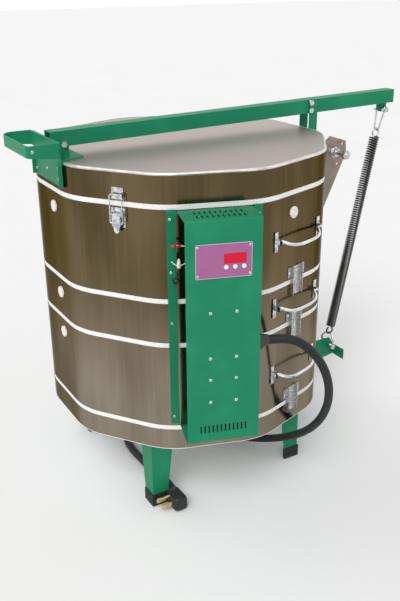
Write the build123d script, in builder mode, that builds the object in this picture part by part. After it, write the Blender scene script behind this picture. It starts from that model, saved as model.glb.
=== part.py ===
from build123d import *
from math import cos, hypot, pi, radians, sin, sqrt, tan
import os

os.makedirs("parts", exist_ok=True)

# An electric kiln with ten sides: three stacked brick rings in steel jackets on a low stand, a hinged lid
# that is lifted by an arm and a long spring, and a control box on one side.
# The origin is the middle of the chamber floor. X is to the right, Y to the back (the lid's hinge), Z up.

# Kiln body, in millimetres
SIDES = 10
ACROSS_FLATS = 749.0
WALL = 76.0                 # thickness of the ring bricks
SHEET = 1.0                 # thickness of the jackets and bands
CORNER_RADIUS = 164.0       # bend of the jacket at each corner
EDGE = 6.3                  # brick left bare above and below each jacket
LOWER_RING = 228.6
MIDDLE_RING = 114.3
UPPER_RING = 228.6
FLOOR_THICKNESS = 63.5
FLOOR_BAND_INSET = 2.5
LID_THICKNESS = 76.2
LID_BAND_HEIGHT = 64.2
LID_RIM = 5.0               # bare brick between the lid's band and its top sheet
BRICK_JOINT = 0.4
STAND_HEIGHT = 219.0

# Heating elements and their grooves
GROOVE_HEIGHT = 13.0
GROOVE_DEPTH = 14.0
COIL_SIZE = 10.0
LOWER_GROOVES = (33.0, 76.0, 119.0, 162.0)
MIDDLE_GROOVES = (18.0, 42.0)
UPPER_GROOVES = (33.0, 74.0, 115.0, 151.0)

# Clearances
RUNNING_FIT = 0.1           # radial, round a pin or a rod
SOFT_GAP = 0.3              # between curved faces of different pieces

# Sides of the kiln, as the direction that each faces
FRONT = -90.0
LATCH_SIDE = -54.0
BOX_SIDE = -18.0
HANDLE_SIDE = 18.0
FAR_HANDLE_SIDE = 198.0

apothem = ACROSS_FLATS / 2
brick_apothem = apothem - SHEET
chamber_apothem = brick_apothem - WALL
middle_floor = LOWER_RING
upper_floor = middle_floor + MIDDLE_RING
ring_top = upper_floor + UPPER_RING
lid_top = ring_top + LID_THICKNESS
slab_bottom = -FLOOR_THICKNESS
ground = slab_bottom - STAND_HEIGHT


def side_plane(angle, out, along=0.0, z=0.0):
    """Plane on a side of the kiln: its x runs along the side, its y up and its z outwards."""
    normal = Vector(cos(radians(angle)), sin(radians(angle)), 0)
    tangent = Vector(-sin(radians(angle)), cos(radians(angle)), 0)
    return Plane(origin=normal * out + tangent * along + Vector(0, 0, z), x_dir=tangent, z_dir=normal)


def along_plane(angle, out, along=0.0, z=0.0):
    """Plane across a side of the kiln: its z runs along the side, its x outwards and its y down."""
    normal = Vector(cos(radians(angle)), sin(radians(angle)), 0)
    tangent = Vector(-sin(radians(angle)), cos(radians(angle)), 0)
    return Plane(origin=normal * out + tangent * along + Vector(0, 0, z), x_dir=normal, z_dir=tangent)


def rounded_outline(distance):
    """Outline of the kiln at a distance from its axis, with its corners bent."""
    with BuildSketch() as outline:
        RegularPolygon(distance, SIDES, major_radius=False)
        fillet(outline.vertices(), CORNER_RADIUS - apothem + distance)
    return outline.sketch


def finish(builder, name):
    """Names a piece and writes it."""
    builder.part.label = name
    export_step(builder.part, f"parts/{name}.step")


jacket_outline = rounded_outline(apothem)
brick_outline = rounded_outline(brick_apothem)

# Peepholes, each with a tapered ceramic plug: side, place along it and height
PLUG_OUTER = 30.0
PLUG_INNER = 22.0
PLUG_PROUD = 16.0
PLUG_LENGTH = 88.0
PEEPHOLES = {
    "upper_peephole_plug": (FRONT, 26.0, 529.0),
    "middle_peephole_plug": (FRONT, 26.0, 301.0),
    "lower_peephole_plug": (FRONT, 26.0, 189.5),
    "side_peephole_plug": (HANDLE_SIDE, -15.0, 522.0),
}
plug_taper = (PLUG_OUTER - PLUG_INNER) / 2 / PLUG_LENGTH
plug_seat = apothem + PLUG_PROUD - PLUG_LENGTH

# Ceramic feed-throughs of the elements on the box side, and the thermocouple
FEED_OUTER = 16.0
FEED_PROUD = 20.0
FEED_PIN = 5.0
FEED_PIN_PROUD = 14.0
FEED_SPREAD = 17.0
FEED_HEIGHTS = (97.0, 259.0, 437.0)
PROBE_OUTER = 8.0
PROBE_BELOW_FEED = 37.0     # from the highest feed-throughs down to the thermocouple
PROBE_REACH = 25.0
PROBE_HEAD = (30.0, 22.0, 18.0)
probe_height = FEED_HEIGHTS[-1] - PROBE_BELOW_FEED


def peephole_holes():
    """Tapered holes for the plugs."""
    for angle, along, z in PEEPHOLES.values():
        inner = PLUG_INNER / 2 + SOFT_GAP - plug_taper * 10
        outer = PLUG_OUTER / 2 + SOFT_GAP
        with Locations(side_plane(angle, plug_seat - 10, along, z)):
            Cone(inner, outer, PLUG_LENGTH + 10, align=(Align.CENTER, Align.CENTER, Align.MIN),
                 mode=Mode.SUBTRACT)


def wall_holes():
    """Holes for the feed-throughs and the thermocouple."""
    for height in FEED_HEIGHTS:
        for spread in (-FEED_SPREAD, FEED_SPREAD):
            with Locations(side_plane(BOX_SIDE, chamber_apothem - 1, spread, height)):
                Cylinder(FEED_OUTER / 2 + SOFT_GAP, WALL + 5, align=(Align.CENTER, Align.CENTER, Align.MIN),
                         mode=Mode.SUBTRACT)
    with Locations(side_plane(BOX_SIDE, chamber_apothem - 1, 0, probe_height)):
        Cylinder(PROBE_OUTER / 2 + SOFT_GAP, WALL + 5, align=(Align.CENTER, Align.CENTER, Align.MIN),
                 mode=Mode.SUBTRACT)


def jacket(name, bottom, height):
    """A bent steel band round a ring of bricks."""
    with BuildPart() as shell:
        with BuildSketch(Plane.XY.offset(bottom)):
            add(jacket_outline)
            add(brick_outline, mode=Mode.SUBTRACT)
        extrude(amount=height)
        if name.startswith("jacket"):
            peephole_holes()
            wall_holes()
    finish(shell, name)


def brick_ring(name, bottom, height, grooves):
    """Ten mitred bricks with grooves for the heating elements."""
    half_angle = 180 / SIDES
    reach = 2 * ACROSS_FLATS
    shift = BRICK_JOINT / 2 / sin(radians(half_angle))
    with BuildPart() as brick:
        with BuildSketch(Plane.XY.offset(bottom)):
            add(brick_outline)
            with Locations(Location((0, 0, 0), (0, 0, half_angle))):
                Polygon((shift, 0), (reach, (reach - shift) * tan(radians(half_angle))),
                        (reach, -(reach - shift) * tan(radians(half_angle))), align=None, mode=Mode.INTERSECT)
            RegularPolygon(chamber_apothem, SIDES, major_radius=False, mode=Mode.SUBTRACT)
        extrude(amount=height)
        for groove in grooves:
            with BuildSketch(Plane.XY.offset(bottom + groove - GROOVE_HEIGHT / 2)):
                RegularPolygon(chamber_apothem + GROOVE_DEPTH, SIDES, major_radius=False)
            extrude(amount=GROOVE_HEIGHT, mode=Mode.SUBTRACT)
    with BuildPart() as ring:
        with PolarLocations(0, SIDES):
            add(brick.part)
        peephole_holes()
        wall_holes()
    finish(ring, name)


# The three rings, from the floor up
RINGS = (
    ("lower", 0.0, LOWER_RING, LOWER_GROOVES),
    ("middle", middle_floor, MIDDLE_RING, MIDDLE_GROOVES),
    ("upper", upper_floor, UPPER_RING, UPPER_GROOVES),
)
for ring_name, ring_floor, ring_height, ring_grooves in RINGS:
    brick_ring(f"brick_ring_{ring_name}", ring_floor, ring_height, ring_grooves)
    jacket(f"jacket_{ring_name}", ring_floor + EDGE, ring_height - 2 * EDGE)

# The coiled elements lie at the back of their grooves
with BuildPart() as heating_elements:
    for ring_name, ring_floor, ring_height, ring_grooves in RINGS:
        for groove in ring_grooves:
            coil_back = chamber_apothem + GROOVE_DEPTH - SOFT_GAP
            with BuildSketch(Plane.XY.offset(ring_floor + groove - GROOVE_HEIGHT / 2 + SOFT_GAP)):
                RegularPolygon(coil_back, SIDES, major_radius=False)
                RegularPolygon(coil_back - COIL_SIZE, SIDES, major_radius=False, mode=Mode.SUBTRACT)
            extrude(amount=COIL_SIZE)
    chamfer(heating_elements.faces().filter_by(Axis.Z).edges(), COIL_SIZE * 0.28)
finish(heating_elements, "heating_elements")

with BuildPart() as element_terminals:
    for feed_height in FEED_HEIGHTS:
        for feed_spread in (-FEED_SPREAD, FEED_SPREAD):
            with Locations(side_plane(BOX_SIDE, chamber_apothem + GROOVE_DEPTH, feed_spread, feed_height)):
                Cylinder(FEED_OUTER / 2, WALL + SHEET + FEED_PROUD - GROOVE_DEPTH,
                         align=(Align.CENTER, Align.CENTER, Align.MIN))
                Cylinder(FEED_PIN / 2, WALL + SHEET + FEED_PROUD - GROOVE_DEPTH + FEED_PIN_PROUD,
                         align=(Align.CENTER, Align.CENTER, Align.MIN))
finish(element_terminals, "element_terminals")

with BuildPart() as thermocouple:
    with Locations(side_plane(BOX_SIDE, chamber_apothem - PROBE_REACH, 0, probe_height)):
        Cylinder(PROBE_OUTER / 2, WALL + SHEET + PROBE_REACH, align=(Align.CENTER, Align.CENTER, Align.MIN))
    with Locations(side_plane(BOX_SIDE, apothem, 0, probe_height)):
        Box(*PROBE_HEAD, align=(Align.CENTER, Align.CENTER, Align.MIN))
finish(thermocouple, "thermocouple")

for plug_name, (plug_side, plug_along, plug_z) in PEEPHOLES.items():
    with BuildPart() as peephole_plug:
        with Locations(side_plane(plug_side, plug_seat, plug_along, plug_z)):
            Cone(PLUG_INNER / 2, PLUG_OUTER / 2, PLUG_LENGTH, align=(Align.CENTER, Align.CENTER, Align.MIN))
        plug_rims = peephole_plug.edges().filter_by(GeomType.CIRCLE)
        chamfer(plug_rims, 1.5)
    finish(peephole_plug, plug_name)

# Floor slab in its band
with BuildPart() as floor_slab:
    with BuildSketch(Plane.XY.offset(slab_bottom)):
        add(brick_outline)
    extrude(amount=FLOOR_THICKNESS)
finish(floor_slab, "floor_slab")
jacket("floor_band", slab_bottom + FLOOR_BAND_INSET, FLOOR_THICKNESS - FLOOR_BAND_INSET - EDGE)

# Stand: a square frame of angle bar on four tapered bent legs in rubber feet
STAND_HALF = 240.0
STEEL = 3.0
RAIL = 38.0
LEG_TOP = 68.0
LEG_FOOT = 42.0
FOOT_HEIGHT = 35.0
FOOT_WALL = 3.0
CROSSBARS = (-80.0, 80.0)
rail_outer = STAND_HALF - STEEL
leg_bottom = ground + FOOT_WALL

with BuildPart() as stand_frame:
    with BuildSketch(Plane.XY.offset(slab_bottom - RAIL)):
        Rectangle(2 * rail_outer, 2 * rail_outer)
        Rectangle(2 * (rail_outer - STEEL), 2 * (rail_outer - STEEL), mode=Mode.SUBTRACT)
    extrude(amount=RAIL)
    with BuildSketch(Plane.XY.offset(slab_bottom - STEEL)):
        Rectangle(2 * rail_outer, 2 * rail_outer)
        Rectangle(2 * (rail_outer - RAIL), 2 * (rail_outer - RAIL), mode=Mode.SUBTRACT)
        for crossbar in CROSSBARS:
            with Locations((crossbar, 0)):
                Rectangle(RAIL, 2 * (rail_outer - RAIL) + 2)
    extrude(amount=STEEL)
    with BuildSketch(Plane.XY.offset(slab_bottom - RAIL)):
        for crossbar in CROSSBARS:
            with Locations((crossbar, 0)):
                Rectangle(STEEL, 2 * rail_outer - 2 * STEEL + 1)
    extrude(amount=RAIL)
finish(stand_frame, "stand_frame")

LEG_CORNERS = [(side_x, side_y) for side_x in (-1, 1) for side_y in (-1, 1)]


def leg_flanges(side_x, side_y):
    """Two tapered flanges that meet in the leg's bend at the stand's corner."""
    outline = ((0, leg_bottom), (LEG_FOOT, leg_bottom), (LEG_TOP, slab_bottom), (0, slab_bottom))
    across = [(side_x * (STAND_HALF - inset), z) for inset, z in outline]
    along = [(side_y * (STAND_HALF - inset), z) for inset, z in outline]
    with BuildSketch(Plane((0, side_y * STAND_HALF, 0), x_dir=(1, 0, 0), z_dir=(0, -1, 0))) as flange:
        Polygon(*across, align=None)
    extrude(flange.sketch, amount=side_y * STEEL)
    with BuildSketch(Plane((side_x * STAND_HALF, 0, 0), x_dir=(0, 1, 0), z_dir=(1, 0, 0))) as other_flange:
        Polygon(*along, align=None)
    extrude(other_flange.sketch, amount=-side_x * STEEL)


with BuildPart() as stand_legs:
    for corner_x, corner_y in LEG_CORNERS:
        leg_flanges(corner_x, corner_y)
finish(stand_legs, "stand_legs")

with BuildPart() as stand_feet:
    for corner_x, corner_y in LEG_CORNERS:
        with BuildSketch(Plane.XY.offset(ground)):
            foot_outer = STAND_HALF + FOOT_WALL
            foot_reach = LEG_FOOT + 2 * FOOT_WALL
            foot_width = STEEL + 2 * FOOT_WALL
            with Locations((corner_x * (foot_outer - foot_reach / 2), corner_y * (foot_outer - foot_width / 2))):
                Rectangle(foot_reach, foot_width)
            with Locations((corner_x * (foot_outer - foot_width / 2), corner_y * (foot_outer - foot_reach / 2))):
                Rectangle(foot_width, foot_reach)
        extrude(amount=FOOT_HEIGHT)
    add(stand_legs.part, mode=Mode.SUBTRACT)
finish(stand_feet, "stand_feet")

# Lid: a brick slab in a band, with a sheet on top
with BuildPart() as lid_slab:
    with BuildSketch(Plane.XY.offset(ring_top)):
        add(brick_outline)
    extrude(amount=LID_THICKNESS - SHEET)
finish(lid_slab, "lid_slab")
jacket("lid_band", ring_top + EDGE, LID_BAND_HEIGHT)
with BuildPart() as lid_top_sheet:
    with BuildSketch(Plane.XY.offset(lid_top - SHEET)):
        add(rounded_outline(apothem - LID_RIM))
    extrude(amount=SHEET)
finish(lid_top_sheet, "lid_top_sheet")

# Hinge at the back: a channel with two wings on the upper ring carries a rod, and the lid's arm hangs on it
HINGE_Y = 416.0
HINGE_Z = 588.5
ROD = 12.7
ROD_LENGTH = 360.0
WING_SPREAD = 250.0
WING_SHEET = 3.0
WING_FOOT = 13.0            # depth of each wing at its lower end
WING_REAR = 42.0            # reach of the wings behind the rod
WING_FRONT = 36.0           # and in front of it
WING_RISE = 46.0            # height of their peak over the rod
WING_HOLE = 7.0
WEB_BOTTOM = 433.5
WEB_TOP = 567.0
NUT_ACROSS = 22.0
NUT_HEIGHT = 10.0
WASHER = 30.0
WASHER_HEIGHT = 2.0

with BuildPart() as hinge_bracket:
    with BuildSketch(Plane.XZ.offset(-apothem)):
        with Locations((0, (WEB_BOTTOM + WEB_TOP) / 2)):
            Rectangle(WING_SPREAD, WEB_TOP - WEB_BOTTOM)
    extrude(amount=-WING_SHEET)
    for wing_side in (-1, 1):
        with BuildSketch(Plane.YZ.offset(wing_side * WING_SPREAD / 2)):
            Polygon((apothem, WEB_BOTTOM), (apothem + WING_FOOT, WEB_BOTTOM), (HINGE_Y + WING_REAR, HINGE_Z - 7),
                    (HINGE_Y + WING_REAR - 4, HINGE_Z + 0.6 * WING_RISE),
                    (HINGE_Y - WING_FRONT / 2, HINGE_Z + WING_RISE),
                    (HINGE_Y - WING_FRONT, HINGE_Z + 0.7 * WING_RISE),
                    (apothem + WING_SHEET, HINGE_Z - WING_FRONT / 2), (apothem, WEB_TOP), align=None)
            with Locations((HINGE_Y, HINGE_Z)):
                Circle(ROD / 2 + RUNNING_FIT, mode=Mode.SUBTRACT)
            with Locations((HINGE_Y + WING_REAR - 15, HINGE_Z + 20), (HINGE_Y + 12, HINGE_Z - 35)):
                Circle(WING_HOLE / 2, mode=Mode.SUBTRACT)
        extrude(amount=-wing_side * WING_SHEET)
finish(hinge_bracket, "hinge_bracket")

with BuildPart() as hinge_rod:
    with BuildSketch(Plane.YZ.offset(-ROD_LENGTH / 2)):
        with Locations((HINGE_Y, HINGE_Z)):
            Circle(ROD / 2)
    extrude(amount=ROD_LENGTH)
    chamfer(hinge_rod.edges().filter_by(GeomType.CIRCLE), 1)
finish(hinge_rod, "hinge_rod")

# Lift arm: a square tube over the lid, with two flat bars down to the rod
ARM = 38.0
ARM_WALL = 2.0
ARM_SLOPE = 0.0168
ARM_FRONT = -370.0
ARM_REAR = 722.0
ARM_CLEAR = 20.8            # height of the tube's underside over the lid, at the front bolt
FRONT_BOLT_Y = -338.0
UPRIGHT_WIDTH = 26.0
UPRIGHT_SHEET = 5.0
UPRIGHT_BOLT_Y = -11.0       # from the rod, along the arm
UPRIGHT_BOLT_RISE = 10.5     # from the arm's middle line
BOLT_HEAD = 14.0
BOLT_HEAD_HEIGHT = 5.0


def arm_under(y):
    """Height of the arm's underside."""
    return lid_top + ARM_CLEAR + ARM_SLOPE * (y - FRONT_BOLT_Y)


with BuildPart() as lift_arm:
    arm_direction = Vector(0, 1, ARM_SLOPE).normalized()
    arm_start = Vector(0, ARM_FRONT, arm_under(ARM_FRONT) + ARM / 2 * sqrt(1 + ARM_SLOPE ** 2))
    with BuildSketch(Plane(origin=arm_start, x_dir=(1, 0, 0), z_dir=arm_direction)):
        Rectangle(ARM, ARM)
        Rectangle(ARM - 2 * ARM_WALL, ARM - 2 * ARM_WALL, mode=Mode.SUBTRACT)
    extrude(amount=(ARM_REAR - ARM_FRONT) * sqrt(1 + ARM_SLOPE ** 2))
    fillet(lift_arm.edges().filter_by(lambda edge: edge.length > ARM_REAR), 0.9)
finish(lift_arm, "lift_arm")

arm_middle = arm_under(HINGE_Y) + ARM / 2
with BuildPart() as arm_uprights:
    for upright_side in (-1, 1):
        with BuildSketch(Plane.YZ.offset(upright_side * ARM / 2)):
            with Locations((HINGE_Y, (HINGE_Z + arm_middle + ARM / 2 - 3) / 2)):
                Rectangle(UPRIGHT_WIDTH, arm_middle + ARM / 2 - 3 - HINGE_Z)
            with Locations((HINGE_Y, HINGE_Z)):
                Circle(UPRIGHT_WIDTH / 2)
                Circle(ROD / 2 + RUNNING_FIT, mode=Mode.SUBTRACT)
        extrude(amount=upright_side * UPRIGHT_SHEET)
finish(arm_uprights, "arm_uprights")

# Bent sheet bracket on the lid's front, with ears for the arm, and the handle that is fixed on it
BRACKET_HALF = 100.0
BRACKET_SHEET = 2.5
BRACKET_BOTTOM = 578.0
BRACKET_TOP = 695.0
BRACKET_RETURN = 8.0
FLANGE_REACH = 70.0
FLANGE_HALF = 60.0
EAR_WIDTH = 26.0
HANDLE_FRONT = -461.0
HANDLE_REAR_HEIGHT = 36.0
HANDLE_FRONT_HEIGHT = 28.0
HANDLE_BAR = 3.5
HANDLE_CORNER = 24.0
bracket_face = -apothem - BRACKET_SHEET
ear_bolt_z = arm_under(FRONT_BOLT_Y) + 6

with BuildPart() as lid_bracket:
    with BuildSketch(Plane.XZ.offset(apothem)):
        with Locations((0, (BRACKET_BOTTOM + BRACKET_TOP) / 2)):
            Rectangle(2 * BRACKET_HALF, BRACKET_TOP - BRACKET_BOTTOM)
    extrude(amount=BRACKET_SHEET)
    with BuildSketch(Plane.XY.offset(BRACKET_BOTTOM)):
        for bracket_side in (-1, 1):
            with Locations((bracket_side * (BRACKET_HALF - BRACKET_SHEET / 2), bracket_face - BRACKET_RETURN / 2)):
                Rectangle(BRACKET_SHEET, BRACKET_RETURN)
    extrude(amount=lid_top - BRACKET_BOTTOM)
    with BuildSketch(Plane.XY.offset(lid_top)):
        Polygon((-BRACKET_HALF, -apothem), (BRACKET_HALF, -apothem), (FLANGE_HALF, FLANGE_REACH - apothem),
                (-FLANGE_HALF, FLANGE_REACH - apothem), align=None)
    extrude(amount=BRACKET_SHEET)
    for ear_side in (-1, 1):
        with BuildSketch(Plane.YZ.offset(ear_side * ARM / 2)):
            with Locations((FRONT_BOLT_Y, (lid_top + ear_bolt_z) / 2)):
                Rectangle(EAR_WIDTH, ear_bolt_z - lid_top)
            with Locations((FRONT_BOLT_Y, ear_bolt_z)):
                Circle(EAR_WIDTH / 2)
        extrude(amount=ear_side * BRACKET_SHEET)
finish(lid_bracket, "lid_bracket")

handle_depth = bracket_face - HANDLE_FRONT
with BuildPart() as lid_handle:
    with BuildSketch(Plane.XY.offset(BRACKET_TOP - HANDLE_REAR_HEIGHT)):
        with Locations((0, bracket_face - handle_depth / 2)):
            RectangleRounded(2 * BRACKET_HALF, handle_depth, HANDLE_CORNER)
            RectangleRounded(2 * (BRACKET_HALF - HANDLE_BAR), handle_depth - 2 * HANDLE_BAR,
                             HANDLE_CORNER - HANDLE_BAR, mode=Mode.SUBTRACT)
    extrude(amount=HANDLE_REAR_HEIGHT)
    handle_bottom = BRACKET_TOP - HANDLE_REAR_HEIGHT
    handle_step = HANDLE_REAR_HEIGHT - HANDLE_FRONT_HEIGHT
    with BuildSketch(Plane.YZ.offset(-BRACKET_HALF - 1)):
        Polygon((bracket_face, handle_bottom - 1), (bracket_face, handle_bottom),
                (HANDLE_FRONT - 1, handle_bottom + handle_step), (HANDLE_FRONT - 1, handle_bottom - 1), align=None)
    extrude(amount=2 * BRACKET_HALF + 2, mode=Mode.SUBTRACT)
finish(lid_handle, "lid_handle")

# Lift spring: anchored behind the stand, pulling down on a tab under the arm's rear end
ANCHOR_Y = 534.0
ANCHOR_Z = -85.5
PULL_Y = 692.5
PULL_DROP = 19.0            # height of the arm's underside over the upper pin
TAB = 5.0
TAB_LENGTH = 35.0
PIN = 8.0
COIL_OUTER = 31.0
COIL_WIRE = 4.5
LOOP = 28.0
COIL_START = 58.6           # from the lower pin to the first turn
LINK_WIRE = 5.0
LINK_HALF = 16.5
SHACKLE_WIRE = 7.0
SHACKLE_HALF = 28.0
SHACKLE_CROWN = 10.0        # half width of the shackle's crown, which the spring hooks over
SHACKLE_KNEE = 20.0         # height over the pin where its legs lean in
EYE = 18.0
EYE_WIDTH = 8.0
pull_z = arm_under(PULL_Y) - PULL_DROP
spring_length = hypot(PULL_Y - ANCHOR_Y, pull_z - ANCHOR_Z)
spring_direction = Vector(0, PULL_Y - ANCHOR_Y, pull_z - ANCHOR_Z).normalized()
link_length = 64.3
upper_loop = spring_length - link_length + LINK_WIRE / 2 + SOFT_GAP + COIL_WIRE - LOOP / 2
lower_loop = COIL_START + COIL_WIRE / 2 - LOOP / 2
coil_end = upper_loop - LOOP / 2 + COIL_WIRE / 2
shackle_bar = lower_loop - LOOP / 2 + COIL_WIRE + SHACKLE_WIRE / 2 + SOFT_GAP


def spring_plane(distance):
    """Plane across the spring's line, at a distance from the lower pin, with its x along X."""
    origin = Vector(0, ANCHOR_Y, ANCHOR_Z) + spring_direction * distance
    return Plane(origin=origin, x_dir=(1, 0, 0), z_dir=spring_direction)


def lengthwise_plane(distance):
    """Plane that holds the spring's line and X: its x is X and its y runs up the line."""
    origin = Vector(0, ANCHOR_Y, ANCHOR_Z) + spring_direction * distance
    return Plane(origin=origin, x_dir=(1, 0, 0), z_dir=Vector(1, 0, 0).cross(spring_direction))


def pin_eye(distance, half_spread):
    """Eye round a pin that runs along X."""
    centre = Vector(0, ANCHOR_Y, ANCHOR_Z) + spring_direction * distance
    for eye_side in (-1, 1):
        start = Vector(eye_side * (half_spread - EYE_WIDTH / 2), centre.Y, centre.Z)
        with BuildSketch(Plane(origin=start, x_dir=(0, 1, 0), z_dir=(1, 0, 0))) as eye:
            Circle(EYE / 2)
            Circle(PIN / 2 + RUNNING_FIT, mode=Mode.SUBTRACT)
        extrude(eye.sketch, amount=eye_side * EYE_WIDTH)


with BuildPart() as lift_spring:
    with BuildSketch(spring_plane(COIL_START)):
        Circle(COIL_OUTER / 2)
    extrude(amount=coil_end - COIL_START)
    for loop_place in (lower_loop, upper_loop):
        loop_centre = spring_plane(loop_place).origin
        with Locations(Plane(origin=loop_centre, x_dir=(0, 1, 0), z_dir=(1, 0, 0))):
            Torus(LOOP / 2 - COIL_WIRE / 2, COIL_WIRE / 2)
finish(lift_spring, "lift_spring")

with BuildPart() as spring_shackle:
    with BuildLine(lengthwise_plane(0)):
        FilletPolyline((-SHACKLE_HALF, EYE / 2 - 2), (-SHACKLE_HALF, SHACKLE_KNEE), (-SHACKLE_CROWN, shackle_bar),
                       (SHACKLE_CROWN, shackle_bar), (SHACKLE_HALF, SHACKLE_KNEE), (SHACKLE_HALF, EYE / 2 - 2),
                       radius=9)
    with BuildSketch(Plane(origin=lengthwise_plane(0).from_local_coords((-SHACKLE_HALF, EYE / 2 - 2, 0)),
                           z_dir=spring_direction)):
        Circle(SHACKLE_WIRE / 2)
    sweep()
    pin_eye(0, SHACKLE_HALF)
finish(spring_shackle, "spring_shackle")

with BuildPart() as top_link:
    link_start = (-LINK_HALF, -EYE / 2 + 2)
    link_bow = (-LINK_HALF / 2, -link_length)
    with BuildLine(lengthwise_plane(spring_length)):
        FilletPolyline(link_start, link_bow, (-link_bow[0], link_bow[1]), (-link_start[0], link_start[1]), radius=5)
    link_plane = lengthwise_plane(spring_length)
    link_from = link_plane.from_local_coords((link_start[0], link_start[1], 0))
    link_to = link_plane.from_local_coords((link_bow[0], link_bow[1], 0))
    with BuildSketch(Plane(origin=link_from, z_dir=link_to - link_from)):
        Circle(LINK_WIRE / 2)
    sweep()
    pin_eye(spring_length, LINK_HALF)
finish(top_link, "top_link")

with BuildPart() as spring_tab:
    with BuildSketch(Plane.YZ.offset(-TAB / 2)):
        Polygon((PULL_Y - TAB_LENGTH / 2, arm_under(PULL_Y - TAB_LENGTH / 2)),
                (PULL_Y + TAB_LENGTH / 2, arm_under(PULL_Y + TAB_LENGTH / 2)),
                (PULL_Y + TAB_LENGTH / 2, pull_z), (PULL_Y + 6, pull_z - 8), (PULL_Y - 6, pull_z - 8),
                (PULL_Y - TAB_LENGTH / 2, pull_z), align=None)
        with Locations((PULL_Y, pull_z)):
            Circle(PIN / 2, mode=Mode.SUBTRACT)
    extrude(amount=TAB)
finish(spring_tab, "spring_tab")


def cross_pin(y, z, half_length, diameter, head, head_height):
    """Pin or bolt along X with a head at each end."""
    with BuildSketch(Plane.YZ.offset(-half_length)) as shank:
        with Locations((y, z)):
            Circle(diameter / 2)
    extrude(shank.sketch, amount=2 * half_length)
    for head_side in (-1, 1):
        with BuildSketch(Plane.YZ.offset(head_side * half_length)) as bolt_head:
            with Locations((y, z)):
                RegularPolygon(head / 2, 6, major_radius=False)
        extrude(bolt_head.sketch, amount=head_side * head_height)


with BuildPart() as lid_fasteners:
    cross_pin(PULL_Y, pull_z, LINK_HALF + EYE_WIDTH / 2 + SOFT_GAP, PIN - 2 * RUNNING_FIT, BOLT_HEAD, BOLT_HEAD_HEIGHT)
    for bolt_rise in (-UPRIGHT_BOLT_RISE, UPRIGHT_BOLT_RISE):
        for bolt_side in (-1, 1):
            with BuildSketch(Plane.YZ.offset(bolt_side * (ARM / 2 + UPRIGHT_SHEET))):
                with Locations((HINGE_Y + UPRIGHT_BOLT_Y, arm_middle + bolt_rise)):
                    RegularPolygon(BOLT_HEAD / 2, 6, major_radius=False)
            extrude(amount=bolt_side * BOLT_HEAD_HEIGHT)
    for bolt_side in (-1, 1):
        with BuildSketch(Plane.YZ.offset(bolt_side * (ARM / 2 + BRACKET_SHEET))):
            with Locations((FRONT_BOLT_Y, ear_bolt_z)):
                RegularPolygon(BOLT_HEAD / 2, 6, major_radius=False)
        extrude(amount=bolt_side * BOLT_HEAD_HEIGHT)
finish(lid_fasteners, "lid_fasteners")

# Plate that reaches back from the stand to hold the spring's anchor
SPRING_PLATE = 6.0
PLATE_REAR = 560.0
PLATE_DROP = 73.0
CROSS_PLATE = 110.0
CROSS_PLATE_BOTTOM = -127.5
CROSS_PLATE_TOP = -94.0
FOOT_PLATE = 60.0           # width of the plate that is bolted to the rail
with BuildPart() as spring_bracket:
    with BuildSketch(Plane.YZ.offset(-SPRING_PLATE / 2)):
        Polygon((rail_outer, slab_bottom - 4), (ANCHOR_Y + 10, slab_bottom - 4), (PLATE_REAR, CROSS_PLATE_TOP),
                (PLATE_REAR, CROSS_PLATE_BOTTOM), (ANCHOR_Y - 34, slab_bottom - PLATE_DROP),
                (rail_outer, slab_bottom - PLATE_DROP), align=None)
        with Locations((ANCHOR_Y, ANCHOR_Z)):
            Circle(PIN / 2, mode=Mode.SUBTRACT)
    extrude(amount=SPRING_PLATE)
    with BuildSketch(Plane.XZ.offset(-PLATE_REAR)):
        with Locations((0, (CROSS_PLATE_TOP + CROSS_PLATE_BOTTOM) / 2)):
            Rectangle(CROSS_PLATE, CROSS_PLATE_TOP - CROSS_PLATE_BOTTOM)
    extrude(amount=-STEEL)
    with BuildSketch(Plane.XZ.offset(-rail_outer)):
        with Locations((0, slab_bottom - 4 - (PLATE_DROP - 4) / 2)):
            Rectangle(FOOT_PLATE, PLATE_DROP - 4)
    extrude(amount=-STEEL)
finish(spring_bracket, "spring_bracket")

with BuildPart() as frame_fasteners:
    cross_pin(ANCHOR_Y, ANCHOR_Z, SHACKLE_HALF + EYE_WIDTH / 2 + SOFT_GAP, PIN - 2 * RUNNING_FIT, BOLT_HEAD, 4)
    for nut_side in (-1, 1):
        nut_places = (WING_SPREAD / 2 + WASHER_HEIGHT, ROD_LENGTH / 2 - NUT_HEIGHT - 2)
        with BuildSketch(Plane.YZ.offset(nut_side * WING_SPREAD / 2)):
            with Locations((HINGE_Y, HINGE_Z)):
                Circle(WASHER / 2)
                Circle(ROD / 2 + RUNNING_FIT, mode=Mode.SUBTRACT)
        extrude(amount=nut_side * WASHER_HEIGHT)
        for nut_place in nut_places:
            with BuildSketch(Plane.YZ.offset(nut_side * nut_place)):
                with Locations((HINGE_Y, HINGE_Z)):
                    RegularPolygon(NUT_ACROSS / 2, 6, major_radius=False)
                    Circle(ROD / 2 + RUNNING_FIT, mode=Mode.SUBTRACT)
            extrude(amount=nut_side * NUT_HEIGHT)
finish(frame_fasteners, "frame_fasteners")

# Control box on its side of the kiln: a bent sheet cover, open to the left, held off the jacket by two strips
BOX_DEPTH = 90.0
BOX_HALF = 88.5
BOX_BOTTOM = 6.5
BOX_TOP = 564.0
BOX_SHEET = 1.5
BOX_RADIUS = 4.0
STRIP_WIDTH = 20.0
STRIP_SHEET = 2.0
STRIP_LIP = 9.0
STRIP_GAP = 3.5
STRIP_TAB = 16.0
STRIP_BOTTOM = 15.0
STRIP_TOP = 567.0
SLOT = 4.0
SLOT_LENGTH = 20.0
box_front = apothem + BOX_DEPTH
box_middle = (BOX_BOTTOM + BOX_TOP) / 2

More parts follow.
